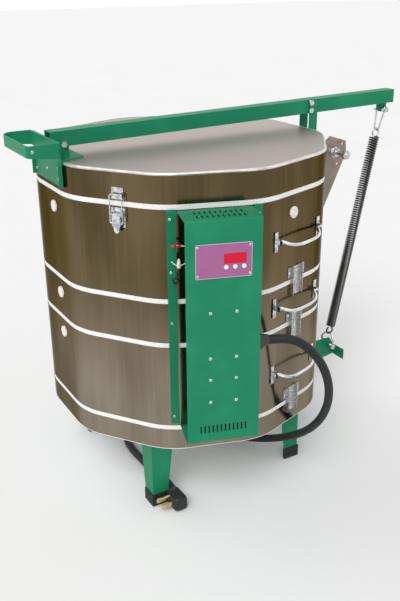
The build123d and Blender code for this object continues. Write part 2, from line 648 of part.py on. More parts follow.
# Controller: a plate on the front with a display and three buttons, and a board behind it
PLATE_CENTRE = (-0.75, 470.0)
PLATE_SIZE = (128.5, 80.0)
PLATE_SHEET = 1.6
DISPLAY_CENTRE = (24.75, 474.5)
DISPLAY_SIZE = (51.5, 24.0)
DISPLAY_DEPTH = 8.0
BUTTON = 10.5
BUTTON_Z = 455.0
BUTTON_PLACES = (4.0, 24.5, 45.0)
BUTTON_PROUD = 2.5
BUTTON_TRAVEL = 1.2
BUTTON_LENGTH = 12.0
BOARD_SIZE = (116.0, 68.0)
BOARD_SHEET = 1.6
GLAND_Z = 252.0
GLAND_OUT = 437.0
CORD = 22.0
GLAND_NUT = 36.0
GLAND_NUT_HEIGHT = 9.0
GLAND_TAPER = 17.0
plate_front = box_front + PLATE_SHEET
board_back = plate_front + BUTTON_PROUD - BUTTON_LENGTH - BUTTON_TRAVEL - SOFT_GAP - BOARD_SHEET

with BuildPart() as control_box_cover:
    with BuildSketch(side_plane(BOX_SIDE, apothem)):
        with Locations((0, box_middle)):
            Rectangle(2 * BOX_HALF, BOX_TOP - BOX_BOTTOM)
    extrude(amount=BOX_DEPTH)
    fillet(control_box_cover.faces().sort_by(SortBy.AREA)[-1].edges(), BOX_RADIUS)
    with BuildSketch(side_plane(BOX_SIDE, apothem)):
        with Locations((-BOX_SHEET, box_middle)):
            Rectangle(2 * BOX_HALF, BOX_TOP - BOX_BOTTOM - 2 * BOX_SHEET)
    extrude(amount=BOX_DEPTH - BOX_SHEET, mode=Mode.SUBTRACT)
    with BuildSketch(side_plane(BOX_SIDE, box_front)):
        with Locations(PLATE_CENTRE):
            Rectangle(PLATE_SIZE[0] - 12, PLATE_SIZE[1] - 12)
        with GridLocations(2.5 * SLOT, 0, 12, 1):
            with Locations((0, BOX_BOTTOM + 36)):
                Rectangle(SLOT, SLOT_LENGTH)
    extrude(amount=-2 * BOX_SHEET, mode=Mode.SUBTRACT)
    with BuildSketch(Plane.XY.offset(BOX_TOP)):
        with Locations(Location((0, 0, 0), (0, 0, BOX_SIDE))):
            with Locations((apothem + BOX_DEPTH / 2, 0)):
                with GridLocations(30, 3 * SLOT, 2, 10):
                    Rectangle(SLOT_LENGTH, SLOT)
    extrude(amount=-2 * BOX_SHEET, mode=Mode.SUBTRACT)
    with BuildSketch(along_plane(BOX_SIDE, GLAND_OUT, BOX_HALF, GLAND_Z)):
        Circle(CORD / 2 + 2)
    extrude(amount=-2 * BOX_SHEET, mode=Mode.SUBTRACT)
finish(control_box_cover, "control_box_cover")

with BuildPart() as box_mount_strips:
    for strip_side in (-1, 1):
        strip_inner = BOX_HALF + STRIP_GAP
        with BuildSketch(side_plane(BOX_SIDE, apothem)):
            with Locations((strip_side * (strip_inner + STRIP_WIDTH / 2), (STRIP_BOTTOM + STRIP_TOP) / 2)):
                Rectangle(STRIP_WIDTH, STRIP_TOP - STRIP_BOTTOM)
        extrude(amount=STRIP_SHEET)
        with BuildSketch(side_plane(BOX_SIDE, apothem)):
            with Locations((strip_side * (strip_inner + STRIP_SHEET / 2), (STRIP_BOTTOM + STRIP_TOP) / 2)):
                Rectangle(STRIP_SHEET, STRIP_TOP - STRIP_BOTTOM)
        extrude(amount=STRIP_LIP)
        tab_length = STRIP_TAB if strip_side < 0 else STRIP_GAP + STRIP_SHEET
        with BuildSketch(side_plane(BOX_SIDE, apothem)):
            with Locations((strip_side * (strip_inner + STRIP_SHEET - tab_length / 2), BOX_TOP - BOX_SHEET - 1.5)):
                Rectangle(tab_length, 3)
        extrude(amount=STRIP_LIP)
    add(control_box_cover.part, mode=Mode.SUBTRACT)
finish(box_mount_strips, "box_mount_strips")

with BuildPart() as controller_plate:
    with BuildSketch(side_plane(BOX_SIDE, box_front)):
        with Locations(PLATE_CENTRE):
            RectangleRounded(*PLATE_SIZE, 3)
        with Locations(DISPLAY_CENTRE):
            Rectangle(*DISPLAY_SIZE, mode=Mode.SUBTRACT)
        for button_place in BUTTON_PLACES:
            with Locations((button_place, BUTTON_Z)):
                Circle(BUTTON / 2 + RUNNING_FIT, mode=Mode.SUBTRACT)
    extrude(amount=PLATE_SHEET)
finish(controller_plate, "controller_plate")

with BuildPart() as circuit_board:
    with BuildSketch(side_plane(BOX_SIDE, board_back)):
        with Locations(PLATE_CENTRE):
            Rectangle(*BOARD_SIZE)
    extrude(amount=BOARD_SHEET)
    with BuildSketch(side_plane(BOX_SIDE, board_back + BOARD_SHEET)):
        with Locations(PLATE_CENTRE):
            with GridLocations(BOARD_SIZE[0] - 7, BOARD_SIZE[1] - 7, 2, 2):
                Circle(3)
    extrude(amount=box_front - board_back - BOARD_SHEET)
    with BuildSketch(side_plane(BOX_SIDE, board_back)):
        with Locations((PLATE_CENTRE[0] - 25, PLATE_CENTRE[1])):
            Rectangle(40, 30)
    extrude(amount=-9)
finish(circuit_board, "circuit_board")

with BuildPart() as display_window:
    with BuildSketch(side_plane(BOX_SIDE, board_back + BOARD_SHEET)):
        with Locations(DISPLAY_CENTRE):
            Rectangle(*DISPLAY_SIZE)
    extrude(amount=plate_front - 0.4 - board_back - BOARD_SHEET)
finish(display_window, "display_window")

for button_number, button_place in enumerate(BUTTON_PLACES, 1):
    with BuildPart() as button:
        button_back = plate_front + BUTTON_PROUD - BUTTON_LENGTH
        with Locations(side_plane(BOX_SIDE, button_back, button_place, BUTTON_Z)):
            Cylinder(BUTTON / 2, BUTTON_LENGTH, align=(Align.CENTER, Align.CENTER, Align.MIN))
        fillet(button.faces().sort_by(Axis((0, 0, 0), side_plane(BOX_SIDE, 1).z_dir))[-1].edges(), 0.8)
    finish(button, f"button_{button_number}")

# Relays and the transformer hang on the inside of the cover's front
RELAY = (44.0, 50.0, 30.0)
RELAY_HEIGHTS = (231.5, 175.5, 116.5)
TRANSFORMER = (52.0, 46.0, 40.0)
TRANSFORMER_HEIGHT = 345.5
MOUNT_EARS = 70.0
with BuildPart() as relays_and_transformer:
    for unit_size, unit_z in [(RELAY, relay_z) for relay_z in RELAY_HEIGHTS] + [(TRANSFORMER, TRANSFORMER_HEIGHT)]:
        with BuildSketch(side_plane(BOX_SIDE, box_front - BOX_SHEET)):
            with Locations((0, unit_z)):
                Rectangle(MOUNT_EARS, unit_size[1] * 0.4)
        extrude(amount=-2)
        with BuildSketch(side_plane(BOX_SIDE, box_front - BOX_SHEET)):
            with Locations((0, unit_z)):
                Rectangle(unit_size[0], unit_size[1])
        extrude(amount=-unit_size[2])
    chamfer(relays_and_transformer.edges().filter_by(
        lambda edge: abs(edge.length - RELAY[1]) < 0.1 or abs(edge.length - TRANSFORMER[1]) < 0.1), 1.5)
finish(relays_and_transformer, "relays_and_transformer")

# Wires from the feed-throughs to the relays, and the connector block in the open side
WIRE = 4.0
CONNECTOR = (16.0, 34.0, 14.0)
CONNECTOR_CENTRE = (-62.0, 300.0)
WIRE_LANE = -50.0           # place along the side where the wires run between their ends
feed_end = apothem + FEED_PROUD + FEED_PIN_PROUD
with BuildPart() as wiring_harness:
    for feed_z, relay_z in zip(FEED_HEIGHTS, (116.5, 231.5, TRANSFORMER_HEIGHT)):
        wire_plane = side_plane(BOX_SIDE, 0)
        wire_points = ((-FEED_SPREAD, feed_z, feed_end), (-FEED_SPREAD, feed_z, feed_end + 9),
                       (WIRE_LANE, (feed_z + relay_z) / 2, feed_end + 12),
                       (WIRE_LANE + 12, relay_z, box_front - 14),
                       (-RELAY[0] / 2 - 4.2, relay_z, box_front - 14))
        with BuildLine(wire_plane) as wire_route:
            FilletPolyline(*wire_points, radius=3.5)
        with BuildSketch(Plane(origin=wire_route.line @ 0, z_dir=wire_route.line % 0)):
            Circle(WIRE / 2)
        sweep(path=wire_route.line)
    with BuildSketch(side_plane(BOX_SIDE, apothem)):
        with Locations(CONNECTOR_CENTRE):
            Rectangle(CONNECTOR[0], CONNECTOR[1])
    extrude(amount=CONNECTOR[2])
finish(wiring_harness, "wiring_harness")

# Cable gland on the cover's right wall
gland_end = BOX_HALF + GLAND_NUT_HEIGHT + GLAND_TAPER
with BuildPart() as cable_gland:
    with BuildSketch(along_plane(BOX_SIDE, GLAND_OUT, BOX_HALF, GLAND_Z)):
        RegularPolygon(GLAND_NUT / 2, 6, major_radius=False)
    extrude(amount=GLAND_NUT_HEIGHT)
    with Locations(along_plane(BOX_SIDE, GLAND_OUT, BOX_HALF + GLAND_NUT_HEIGHT, GLAND_Z)):
        Cone(GLAND_NUT / 2 - 2, CORD / 2 + 2, GLAND_TAPER, align=(Align.CENTER, Align.CENTER, Align.MIN))
    with Locations(along_plane(BOX_SIDE, GLAND_OUT, BOX_HALF, GLAND_Z)):
        Cylinder(CORD / 2 + 1.7, 2 * BOX_SHEET, align=(Align.CENTER, Align.CENTER, Align.MAX))
    with BuildSketch(along_plane(BOX_SIDE, GLAND_OUT, BOX_HALF - BOX_SHEET, GLAND_Z)):
        RegularPolygon(GLAND_NUT / 2 - 1, 6, major_radius=False)
    extrude(amount=-GLAND_NUT_HEIGHT / 2)
finish(cable_gland, "cable_gland")

# Power cord: out of the gland, round in a loop, under the kiln and along the floor to its plug
cord_start = side_plane(BOX_SIDE, GLAND_OUT, gland_end, GLAND_Z).origin
cord_floor = ground + CORD / 2 + 0.1
PLUG_START = (188.0, -174.0)
PLUG_AXIS_HEIGHT = 20.0
CORD_ROUTE = (
    (463.97, 13.8, 252.0),
    (478.0, 53.0, 236.0),
    (487.0, 90.0, 198.0),
    (488.0, 123.0, 146.0),
    (476.0, 150.0, 84.0),
    (451.0, 170.0, 16.0),
    (412.0, 182.0, -52.0),
    (361.0, 184.0, -114.0),
    (301.0, 175.0, -163.0),
    (237.0, 158.0, -201.0),
    (171.0, 137.0, -230.0),
    (103.0, 114.0, -253.0),
    (33.0, 93.0, -267.0),
    (-38.0, 76.0, cord_floor),
    (-108.0, 52.0, cord_floor),
    (-155.0, 1.0, cord_floor),
    (-166.0, -69.0, cord_floor),
    (-136.0, -133.0, cord_floor),
    (-76.0, -172.0, cord_floor),
    (-7.0, -178.0, cord_floor),
    (61.0, -175.0, cord_floor),
    (126.0, -178.0, cord_floor + 1.0),
)
cord_points = [cord_start] + [Vector(*point) for point in CORD_ROUTE]
cord_points.append(Vector(PLUG_START[0], PLUG_START[1], ground + PLUG_AXIS_HEIGHT))
cord_radii = []
for before, corner, after in zip(cord_points, cord_points[1:], cord_points[2:]):
    turn = (corner - before).get_angle(after - corner)
    shorter = min((corner - before).length, (after - corner).length)
    cord_radii.append(0.45 * shorter / tan(radians(turn / 2)))
print("cord radii", [round(radius) for radius in cord_radii])

with BuildPart() as power_cord:
    with BuildLine():
        cord_line = FilletPolyline(*cord_points, radius=cord_radii)
    with BuildSketch(Plane(origin=cord_line @ 0, z_dir=cord_line % 0)):
        Circle(CORD / 2)
    sweep(path=cord_line)
finish(power_cord, "power_cord")
cord_volume = cord_line.length * pi * CORD ** 2 / 4
print("cord length", round(cord_line.length, 1), "volume ratio", power_cord.part.volume / cord_volume)

# Right-angle plug: the cord comes in through a tapered arm, and the blades stand out of one side of the head
PLUG_HEAD = (54.0, 40.0, 54.0)
PLUG_HEAD_PLACE = (273.0, -185.0)
PLUG_ARM_END = 17.0
BLADE = (2.4, 32.0, 14.0)
BLADE_PLACES = (253.0, 284.0)
GROUND_PIN = 8.0
plug_direction = cord_line % 1
plug_place = Vector(*PLUG_START, ground + PLUG_AXIS_HEIGHT)
arm_length = PLUG_HEAD_PLACE[0] - PLUG_START[0]
with BuildPart() as power_plug:
    with BuildSketch(Plane(origin=plug_place, z_dir=plug_direction)):
        Circle(CORD / 2 + 2)
    with BuildSketch(Plane(origin=plug_place + plug_direction * arm_length, z_dir=plug_direction)):
        Circle(PLUG_ARM_END)
    loft()
    with BuildSketch(Plane.XY.offset(ground)):
        with Locations(PLUG_HEAD_PLACE):
            RectangleRounded(PLUG_HEAD[0], PLUG_HEAD[1], 6)
    extrude(amount=PLUG_HEAD[2])
    fillet(power_plug.faces().sort_by(Axis.Z)[-1].edges(), 5)
finish(power_plug, "power_plug")

blade_root = PLUG_HEAD_PLACE[1] - PLUG_HEAD[1] / 2
blade_z = ground + PLUG_HEAD[2] / 2
with BuildPart() as plug_blades:
    with BuildSketch(Plane.XZ.offset(-blade_root)):
        for blade_x in BLADE_PLACES:
            with Locations((blade_x, blade_z - 4)):
                Rectangle(BLADE[0], BLADE[2])
        with Locations((sum(BLADE_PLACES) / 2, blade_z + 12)):
            Circle(GROUND_PIN / 2)
    extrude(amount=BLADE[1])
finish(plug_blades, "plug_blades")

# Draw latch: its base and lever on the upper ring, its keeper on the lid's band
LATCH_ALONG = 12.0
LATCH_WIDTH = 45.0
LATCH_BASE_BOTTOM = 516.0
LATCH_BASE_TOP = 562.0
LATCH_PIVOT_Z = 546.0
LATCH_PIVOT_OUT = 8.0
LATCH_SHEET = 2.0
LATCH_EAR = 14.0            # middle of the latch to the inside of each ear
LEVER_BOTTOM = 503.5
LEVER_HALF = 12.0
LEVER_OUT = 10.0
LEVER_SHEET = 3.0
BAIL_PIVOT_Z = 527.0
BAIL_WIRE = 3.5
BAIL_HALF = 20.0
BAIL_TOP = 594.0
KEEPER_HALF = 15.0
KEEPER_BOTTOM = 581.0
KEEPER_TOP = 609.5
KEEPER_LIP = 7.5
LATCH_PIN = 4.0
latch_zero = side_plane(LATCH_SIDE, apothem, LATCH_ALONG)
bail_out = LEVER_OUT + LEVER_SHEET / 2


def latch_across(half_width):
    """Plane across the latch whose x is outwards from the jacket and whose y is up, for extruding along it."""
    start = latch_zero.from_local_coords(Vector(half_width, 0, 0))
    return Plane(origin=start, x_dir=latch_zero.z_dir, z_dir=-latch_zero.x_dir)


with BuildPart() as latch_base:
    with BuildSketch(latch_zero):
        with Locations((0, (LATCH_BASE_BOTTOM + LATCH_BASE_TOP) / 2)):
            Rectangle(LATCH_WIDTH, LATCH_BASE_TOP - LATCH_BASE_BOTTOM)
    extrude(amount=LATCH_SHEET)
    for ear_start in (-LATCH_EAR, LATCH_EAR + LATCH_SHEET):
        with BuildSketch(latch_across(ear_start)):
            with Locations((LATCH_PIVOT_OUT / 2, LATCH_PIVOT_Z)):
                Rectangle(LATCH_PIVOT_OUT, 12)
            with Locations((LATCH_PIVOT_OUT, LATCH_PIVOT_Z)):
                Circle(6)
        extrude(amount=LATCH_SHEET)
    with BuildSketch(latch_across(LATCH_EAR + LATCH_SHEET + 1)):
        with Locations((LATCH_PIVOT_OUT, LATCH_PIVOT_Z)):
            Circle(LATCH_PIN / 2)
    extrude(amount=2 * (LATCH_EAR + LATCH_SHEET + 1))
finish(latch_base, "latch_base")

with BuildPart() as latch_lever:
    lever_plane = latch_zero.offset(LEVER_OUT)
    with BuildSketch(lever_plane):
        Polygon((-LEVER_HALF, LATCH_PIVOT_Z + 2), (LEVER_HALF, LATCH_PIVOT_Z + 2), (LEVER_HALF, BAIL_PIVOT_Z - 4),
                (LEVER_HALF * 0.7, LEVER_BOTTOM + 8), (-LEVER_HALF * 0.7, LEVER_BOTTOM + 8),
                (-LEVER_HALF, BAIL_PIVOT_Z - 4), align=None)
        with Locations((0, LEVER_BOTTOM + LEVER_HALF * 0.7)):
            Circle(LEVER_HALF * 0.7)
    extrude(amount=LEVER_SHEET)
    with BuildSketch(latch_across(LEVER_HALF)):
        with Locations((LATCH_PIVOT_OUT, LATCH_PIVOT_Z)):
            Circle(4.5)
        with Locations((bail_out, BAIL_PIVOT_Z)):
            Circle(3.5)
    extrude(amount=2 * LEVER_HALF)
    with BuildSketch(latch_across(LEVER_HALF)):
        with Locations((LATCH_PIVOT_OUT, LATCH_PIVOT_Z)):
            Circle(LATCH_PIN / 2 + RUNNING_FIT)
        with Locations((bail_out, BAIL_PIVOT_Z)):
            Circle(BAIL_WIRE / 2 + RUNNING_FIT)
    extrude(amount=2 * LEVER_HALF, mode=Mode.SUBTRACT)
finish(latch_lever, "latch_lever")

with BuildPart() as latch_bail:
    bail_plane = latch_zero.offset(bail_out)
    with BuildLine(bail_plane) as bail_route:
        FilletPolyline((-LEVER_HALF + 6, BAIL_PIVOT_Z), (-BAIL_HALF, BAIL_PIVOT_Z), (-BAIL_HALF, BAIL_TOP),
                       (BAIL_HALF, BAIL_TOP), (BAIL_HALF, BAIL_PIVOT_Z), (LEVER_HALF - 6, BAIL_PIVOT_Z), radius=4)
    with BuildSketch(Plane(origin=bail_route.line @ 0, z_dir=bail_route.line % 0)):
        Circle(BAIL_WIRE / 2)
    sweep(path=bail_route.line)
finish(latch_bail, "latch_bail")

with BuildPart() as latch_keeper:
    with BuildSketch(latch_zero):
        with Locations((0, (KEEPER_BOTTOM + KEEPER_TOP) / 2)):
            Rectangle(2 * KEEPER_HALF, KEEPER_TOP - KEEPER_BOTTOM)
    extrude(amount=LATCH_SHEET)
    with BuildSketch(latch_across(KEEPER_HALF)):
        with Locations((KEEPER_LIP / 2, KEEPER_BOTTOM + 5)):
            Rectangle(KEEPER_LIP, LATCH_SHEET)
        with Locations((KEEPER_LIP - LATCH_SHEET / 2, KEEPER_BOTTOM + 9)):
            Rectangle(LATCH_SHEET, 10)
    extrude(amount=2 * KEEPER_HALF)
finish(latch_keeper, "latch_keeper")

# Guide clips that keep the rings in line, on the two sides with handles
GUIDE_ALONG = 5.0
GUIDE_WIDTH = 40.0
GUIDE_FLANGE = 68.0
GUIDE_SHEET = 2.0
GUIDE_RISE = 7.0
GUIDES = ((middle_floor, 43.0, 30.4), (upper_floor, 37.4, 38.6), (0.0, 31.0, 40.5))

with BuildPart() as guide_brackets:
    for guide_side in (HANDLE_SIDE, FAR_HANDLE_SIDE):
        for joint_z, below, above in GUIDES:
            with BuildSketch(side_plane(guide_side, apothem)):
                with Locations((GUIDE_ALONG, joint_z + above - above * 0.35)):
                    Rectangle(GUIDE_FLANGE, above * 0.7)
                with Locations((GUIDE_ALONG, joint_z + (above - below) / 2)):
                    Rectangle(GUIDE_WIDTH, above + below)
            extrude(amount=GUIDE_SHEET)
            with BuildSketch(side_plane(guide_side, apothem + GUIDE_SHEET)):
                for edge_side in (-1, 1):
                    edge_along = GUIDE_ALONG + edge_side * (GUIDE_WIDTH / 2 - GUIDE_SHEET / 2)
                    with Locations((edge_along, joint_z + (above - below) / 2)):
                        Rectangle(GUIDE_SHEET, above + below)
            extrude(amount=GUIDE_RISE)
finish(guide_brackets, "guide_brackets")

# Lifting handles: a drop bail between two end plates, one on each handle side of each ring
HANDLE_HEIGHTS = {"upper": 463.0, "middle": 292.0, "lower": 108.0}
HANDLE_ENDS = (-82.0, 92.0)
END_PLATE = (12.0, 50.0)
END_SHEET = 2.5
HANDLE_PIVOT_OUT = 10.0
HANDLE_WIRE = 9.0
HANDLE_DROP = 11.0
HANDLE_OUT = 25.4
HANDLE_STUB = 2.0
HANDLE_SHOULDER = 8.0
HANDLE_SPREAD = 42.0


def handle_ear_inner(end):
    """Place of an ear's inner face along the side."""
    towards = 1 if end < 0 else -1
    return end + towards * (END_PLATE[0] / 2)


with BuildPart() as handle_plates:
    for handle_side in (HANDLE_SIDE, FAR_HANDLE_SIDE):
        for handle_z in HANDLE_HEIGHTS.values():
            for handle_end in HANDLE_ENDS:
                towards = 1 if handle_end < 0 else -1
                with BuildSketch(side_plane(handle_side, apothem, handle_end, handle_z)):
                    Rectangle(*END_PLATE)
                extrude(amount=END_SHEET)
                ear_plane = side_plane(handle_side, apothem, handle_ear_inner(handle_end), handle_z)
                with BuildSketch(Plane(origin=ear_plane.origin, x_dir=ear_plane.z_dir, z_dir=-ear_plane.x_dir)):
                    with Locations((HANDLE_PIVOT_OUT / 2, 0)):
                        Rectangle(HANDLE_PIVOT_OUT, 16)
                    with Locations((HANDLE_PIVOT_OUT, 0)):
                        Circle(8)
                        Circle(HANDLE_WIRE / 2 + RUNNING_FIT, mode=Mode.SUBTRACT)
                extrude(amount=towards * END_SHEET)
finish(handle_plates, "handle_plates")

for handle_side, side_word in ((HANDLE_SIDE, "right"), (FAR_HANDLE_SIDE, "left")):
    for handle_word, handle_z in HANDLE_HEIGHTS.items():
        pivot_plane = side_plane(handle_side, apothem + HANDLE_PIVOT_OUT, 0, handle_z)
        hang = (pivot_plane.z_dir * HANDLE_OUT - pivot_plane.y_dir * HANDLE_DROP).normalized()
        drop = hypot(HANDLE_OUT, HANDLE_DROP)
        bail_frame = Plane(origin=pivot_plane.origin, x_dir=pivot_plane.x_dir,
                           z_dir=pivot_plane.x_dir.cross(hang))
        left_ear = handle_ear_inner(HANDLE_ENDS[0])
        right_ear = handle_ear_inner(HANDLE_ENDS[1])
        with BuildPart() as lifting_handle:
            with BuildLine(bail_frame) as handle_route:
                FilletPolyline((left_ear - HANDLE_STUB, 0), (left_ear + HANDLE_SHOULDER, 0),
                               (left_ear + HANDLE_SPREAD, drop), (right_ear - HANDLE_SPREAD, drop),
                               (right_ear - HANDLE_SHOULDER, 0), (right_ear + HANDLE_STUB, 0),
                               radius=[9, 44, 44, 9])
            with BuildSketch(Plane(origin=handle_route.line @ 0, z_dir=handle_route.line % 0)):
                Circle(HANDLE_WIRE / 2)
            sweep(path=handle_route.line)
        finish(lifting_handle, f"{handle_word}_{side_word}_handle")
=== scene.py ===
from math import cos, pi, radians, tan

import bpy
import numpy as np
from mathutils import Matrix, Vector


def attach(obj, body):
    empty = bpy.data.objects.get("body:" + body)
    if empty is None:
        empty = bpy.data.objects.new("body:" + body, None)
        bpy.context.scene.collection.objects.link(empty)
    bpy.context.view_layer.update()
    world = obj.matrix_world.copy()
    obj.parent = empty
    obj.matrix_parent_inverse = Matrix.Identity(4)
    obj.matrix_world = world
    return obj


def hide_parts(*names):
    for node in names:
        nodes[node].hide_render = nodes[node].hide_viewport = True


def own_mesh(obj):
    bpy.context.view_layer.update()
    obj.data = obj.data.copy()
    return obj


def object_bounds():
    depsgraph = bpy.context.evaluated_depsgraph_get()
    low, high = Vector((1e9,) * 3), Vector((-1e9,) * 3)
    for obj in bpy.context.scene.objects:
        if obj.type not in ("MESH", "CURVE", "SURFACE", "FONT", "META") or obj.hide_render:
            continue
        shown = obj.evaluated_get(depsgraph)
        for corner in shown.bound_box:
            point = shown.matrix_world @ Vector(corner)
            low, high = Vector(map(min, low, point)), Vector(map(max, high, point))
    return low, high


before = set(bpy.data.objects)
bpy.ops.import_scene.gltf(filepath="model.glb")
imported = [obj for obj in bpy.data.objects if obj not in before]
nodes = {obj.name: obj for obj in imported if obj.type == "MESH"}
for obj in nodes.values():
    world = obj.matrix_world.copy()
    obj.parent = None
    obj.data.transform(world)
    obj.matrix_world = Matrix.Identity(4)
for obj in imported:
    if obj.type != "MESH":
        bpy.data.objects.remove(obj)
scene = bpy.context.scene
cad_box = [list(corner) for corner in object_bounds()]

# The stand: legs bent from sheet, a frame of angle bar and the plate that holds the spring's anchor.
# They are mild steel with a green powder coat, which has a fine orange-peel skin.
# The same coat is on the lift arm, its uprights, the lid's bracket and handle, and the control box.


class Signal:
    """An output socket of a material. Arithmetic on it adds Math nodes to the same material."""

    def __init__(self, surface, socket):
        self.surface = surface
        self.socket = socket

    def joined(self, operation, first, second):
        """One Math node on two values."""
        return self.surface.add("ShaderNodeMath", {"operation": operation}, {0: first, 1: second})

    def __add__(self, other):
        return self.joined("ADD", self, other)

    def __radd__(self, other):
        return self.joined("ADD", other, self)

    def __sub__(self, other):
        return self.joined("SUBTRACT", self, other)

    def __rsub__(self, other):
        return self.joined("SUBTRACT", other, self)

    def __rmul__(self, other):
        return self.joined("MULTIPLY", other, self)

    def __gt__(self, other):
        return self.joined("GREATER_THAN", self, other)

    def __abs__(self):
        return self.joined("ABSOLUTE", self, 0.0)


class Surface:
    """A material under construction, with its main shader ready."""

    def __init__(self, name):
        self.material = bpy.data.materials.new(name)
        self.material.use_nodes = True
        self.tree = self.material.node_tree
        self.shader = self.tree.nodes["Principled BSDF"]

    def add(self, kind, settings=None, sockets=None, output=0):
        """Adds a node of a type, with its settings first, then the values or links of its sockets."""
        node = self.tree.nodes.new(kind)
        for name, value in (settings or {}).items():
            setattr(node, name, value)
        for name, value in (sockets or {}).items():
            self.feed(node.inputs[name], value)
        return Signal(self, node.outputs[output])

    def feed(self, socket, value):
        """Links a signal to a socket, or sets the socket to a number or a colour."""
        if isinstance(value, Signal):
            self.tree.links.new(value.socket, socket)
        elif socket.type == "RGBA" and len(value) == 3:
            socket.default_value = (*value, 1)
        else:
            socket.default_value = value

    def shade(self, **sockets):
        """Sets the main shader's sockets: base_color=... is its Base Color."""
        for name, value in sockets.items():
            self.feed(self.shader.inputs[name.replace("_", " ").title().replace("Ior", "IOR")], value)
        return self.material

    def place(self, stretch=(1, 1, 1), turn=0.0):
        """Place on the object in metres, stretched along its axes and turned about Z."""
        where = self.add("ShaderNodeTexCoord", output="Object")
        return self.add("ShaderNodeMapping", None,
                        {"Vector": where, "Scale": stretch, "Rotation": (0, 0, turn)})

    def height(self):
        """Height on the object in metres."""
        return self.add("ShaderNodeSeparateXYZ", None, {0: self.place()}, output=2)

    def noise(self, size, stretch=(1, 1, 1), detail=3.0):
        """Cloudy pattern with spots of about a size in metres."""
        return self.add("ShaderNodeTexNoise", None,
                        {"Vector": self.place(stretch), "Scale": 1 / size, "Detail": detail})

    def cells(self, scale, randomness, output=0, turn=0.0, distance="EUCLIDEAN"):
        """Cells in a number to the metre: how far the middle of the nearest one is, or its own colour."""
        return self.add("ShaderNodeTexVoronoi", {"distance": distance},
                        {"Vector": self.place(turn=turn), "Scale": scale, "Randomness": randomness}, output)

    def between(self, share, first, second):
        """Colour that runs from the first to the second as a share goes from 0 to 1."""
        return self.add("ShaderNodeMix", {"data_type": "RGBA"}, {0: share, 6: first, 7: second}, output=2)

    def bump(self, height, depth):
        """Relief of a depth in metres."""
        return self.add("ShaderNodeBump", None, {"Height": height, "Distance": depth})

    def part_of(self, signal, low, high):
        """Share from 0 to 1 as a signal goes from low to high, held at both ends."""
        return self.add("ShaderNodeMapRange", {"interpolation_type": "SMOOTHSTEP"},
                        {"Value": signal, "From Min": low, "From Max": high})


def powder_coat(name, colour):
    """Satin powder coat with orange peel and faint dust."""
    coat = Surface(name)
    dusty = coat.part_of(coat.noise(0.11, detail=5.0), 0.42, 0.75)
    peel = coat.noise(0.0022, detail=2.0)
    deep = [0.84 * part for part in colour]
    pale = [0.96 * part + 0.006 for part in colour]
    return coat.shade(base_color=coat.between(dusty, deep, pale), roughness=0.40 + 0.14 * dusty,
                      normal=coat.bump(peel, 0.00022), specular_ior_level=0.16)


GREEN = (0.013, 0.272, 0.134)
green_coat = powder_coat("green powder coat", GREEN)


def finish_nodes(material, *names):
    """Gives frame nodes a finish."""
    for name in names:
        data = nodes[name].data
        data.materials.clear()
        data.materials.append(material)


finish_nodes(green_coat, "stand_legs", "stand_frame", "spring_bracket", "lift_arm", "arm_uprights",
             "spring_tab", "control_box_cover", "box_mount_strips")

# Rubber caps of the legs: one moulded cap of black rubber is pushed over the foot of each leg.
# The rubber is dull, and a little dusty near the floor. The cord, its plug and a clip are of the same kind.
ground = cad_box[0][2]


def black_rubber(name, colour, roughness, dust_height):
    """Moulded rubber whose lowest part is greyer with dust."""
    rubber = Surface(name)
    height = rubber.height()
    patches = rubber.noise(0.012, detail=4.0)
    dust = rubber.part_of(height + 0.006 * patches, ground + dust_height, ground)
    grain = rubber.noise(0.0009, detail=2.0)
    dusty = [part + 0.05 for part in colour]
    return rubber.shade(base_color=rubber.between(0.7 * dust + 0.12 * patches, colour, dusty),
                        roughness=roughness + 0.12 * patches, specular_ior_level=0.32,
                        normal=rubber.bump(grain, 0.00012))


finish_nodes(black_rubber("foot rubber", (0.016, 0.016, 0.017), 0.62, 0.012), "stand_feet")

# Bricks: the floor slab, the thirty ring bricks and the lid slab are white insulating firebrick.
# It is light and crumbly, full of small pores, and is ground flat where the rings meet.


def firebrick():
    """White brick with open pores darkened by painted shade, and a few rusty specks."""
    brick = Surface("insulating firebrick")
    pits = brick.part_of(brick.cells(330.0, 1.0), 0.05, 0.33)
    cloud = brick.noise(0.05, detail=6.0)
    specks = brick.part_of(brick.noise(0.0035, detail=1.0), 0.72, 0.78)
    tone = brick.between(cloud, (0.92, 0.91, 0.895), (0.97, 0.965, 0.955))
    # painted shade: the pores are darkened towards grey-brown, standing in for the shade that falls into them
    pore_shaded = brick.between(0.14 * (1 - pits), tone, (0.66, 0.63, 0.59))
    return brick.shade(base_color=brick.between(0.30 * specks, pore_shaded, (0.46, 0.34, 0.21)),
                       roughness=0.95, specular_ior_level=0.15,
                       normal=brick.bump(pits + 0.3 * brick.noise(0.0015), 0.0006))


finish_nodes(firebrick(), "floor_slab", "brick_ring_lower", "brick_ring_middle", "brick_ring_upper",
             "lid_slab")

# Heating elements: coils of resistance wire that lie at the back of the ten grooves.
# Each is a wire wound round a centre line that follows the ten sides of the chamber.
SIDES = 10
ELEMENT_LINE = 0.3062        # from the kiln's axis to the middle of the coil
ELEMENT_WIRE = 0.0011        # radius
ELEMENT_COIL = 0.0039        # radius of the coil at the middle of its wire
ELEMENT_PITCH = 0.009        # from one turn of the wire to the next
ELEMENT_BEND = 0.010         # length at each end of a side over which the coil turns to the next side
ELEMENT_END = 0.017          # from the middle of the box side to either end of the coil
BOX_SIDE = -18.0             # degrees that the side with the control box faces
TURN_POINTS = 10             # points of the line in each turn of the wire
ELEMENT_HEIGHTS = (0.033, 0.076, 0.119, 0.162, 0.2466, 0.2706, 0.3759, 0.4169, 0.4579, 0.4939)
ELEMENT_SINK = 0.0012        # from the groove's middle down to the coil's middle


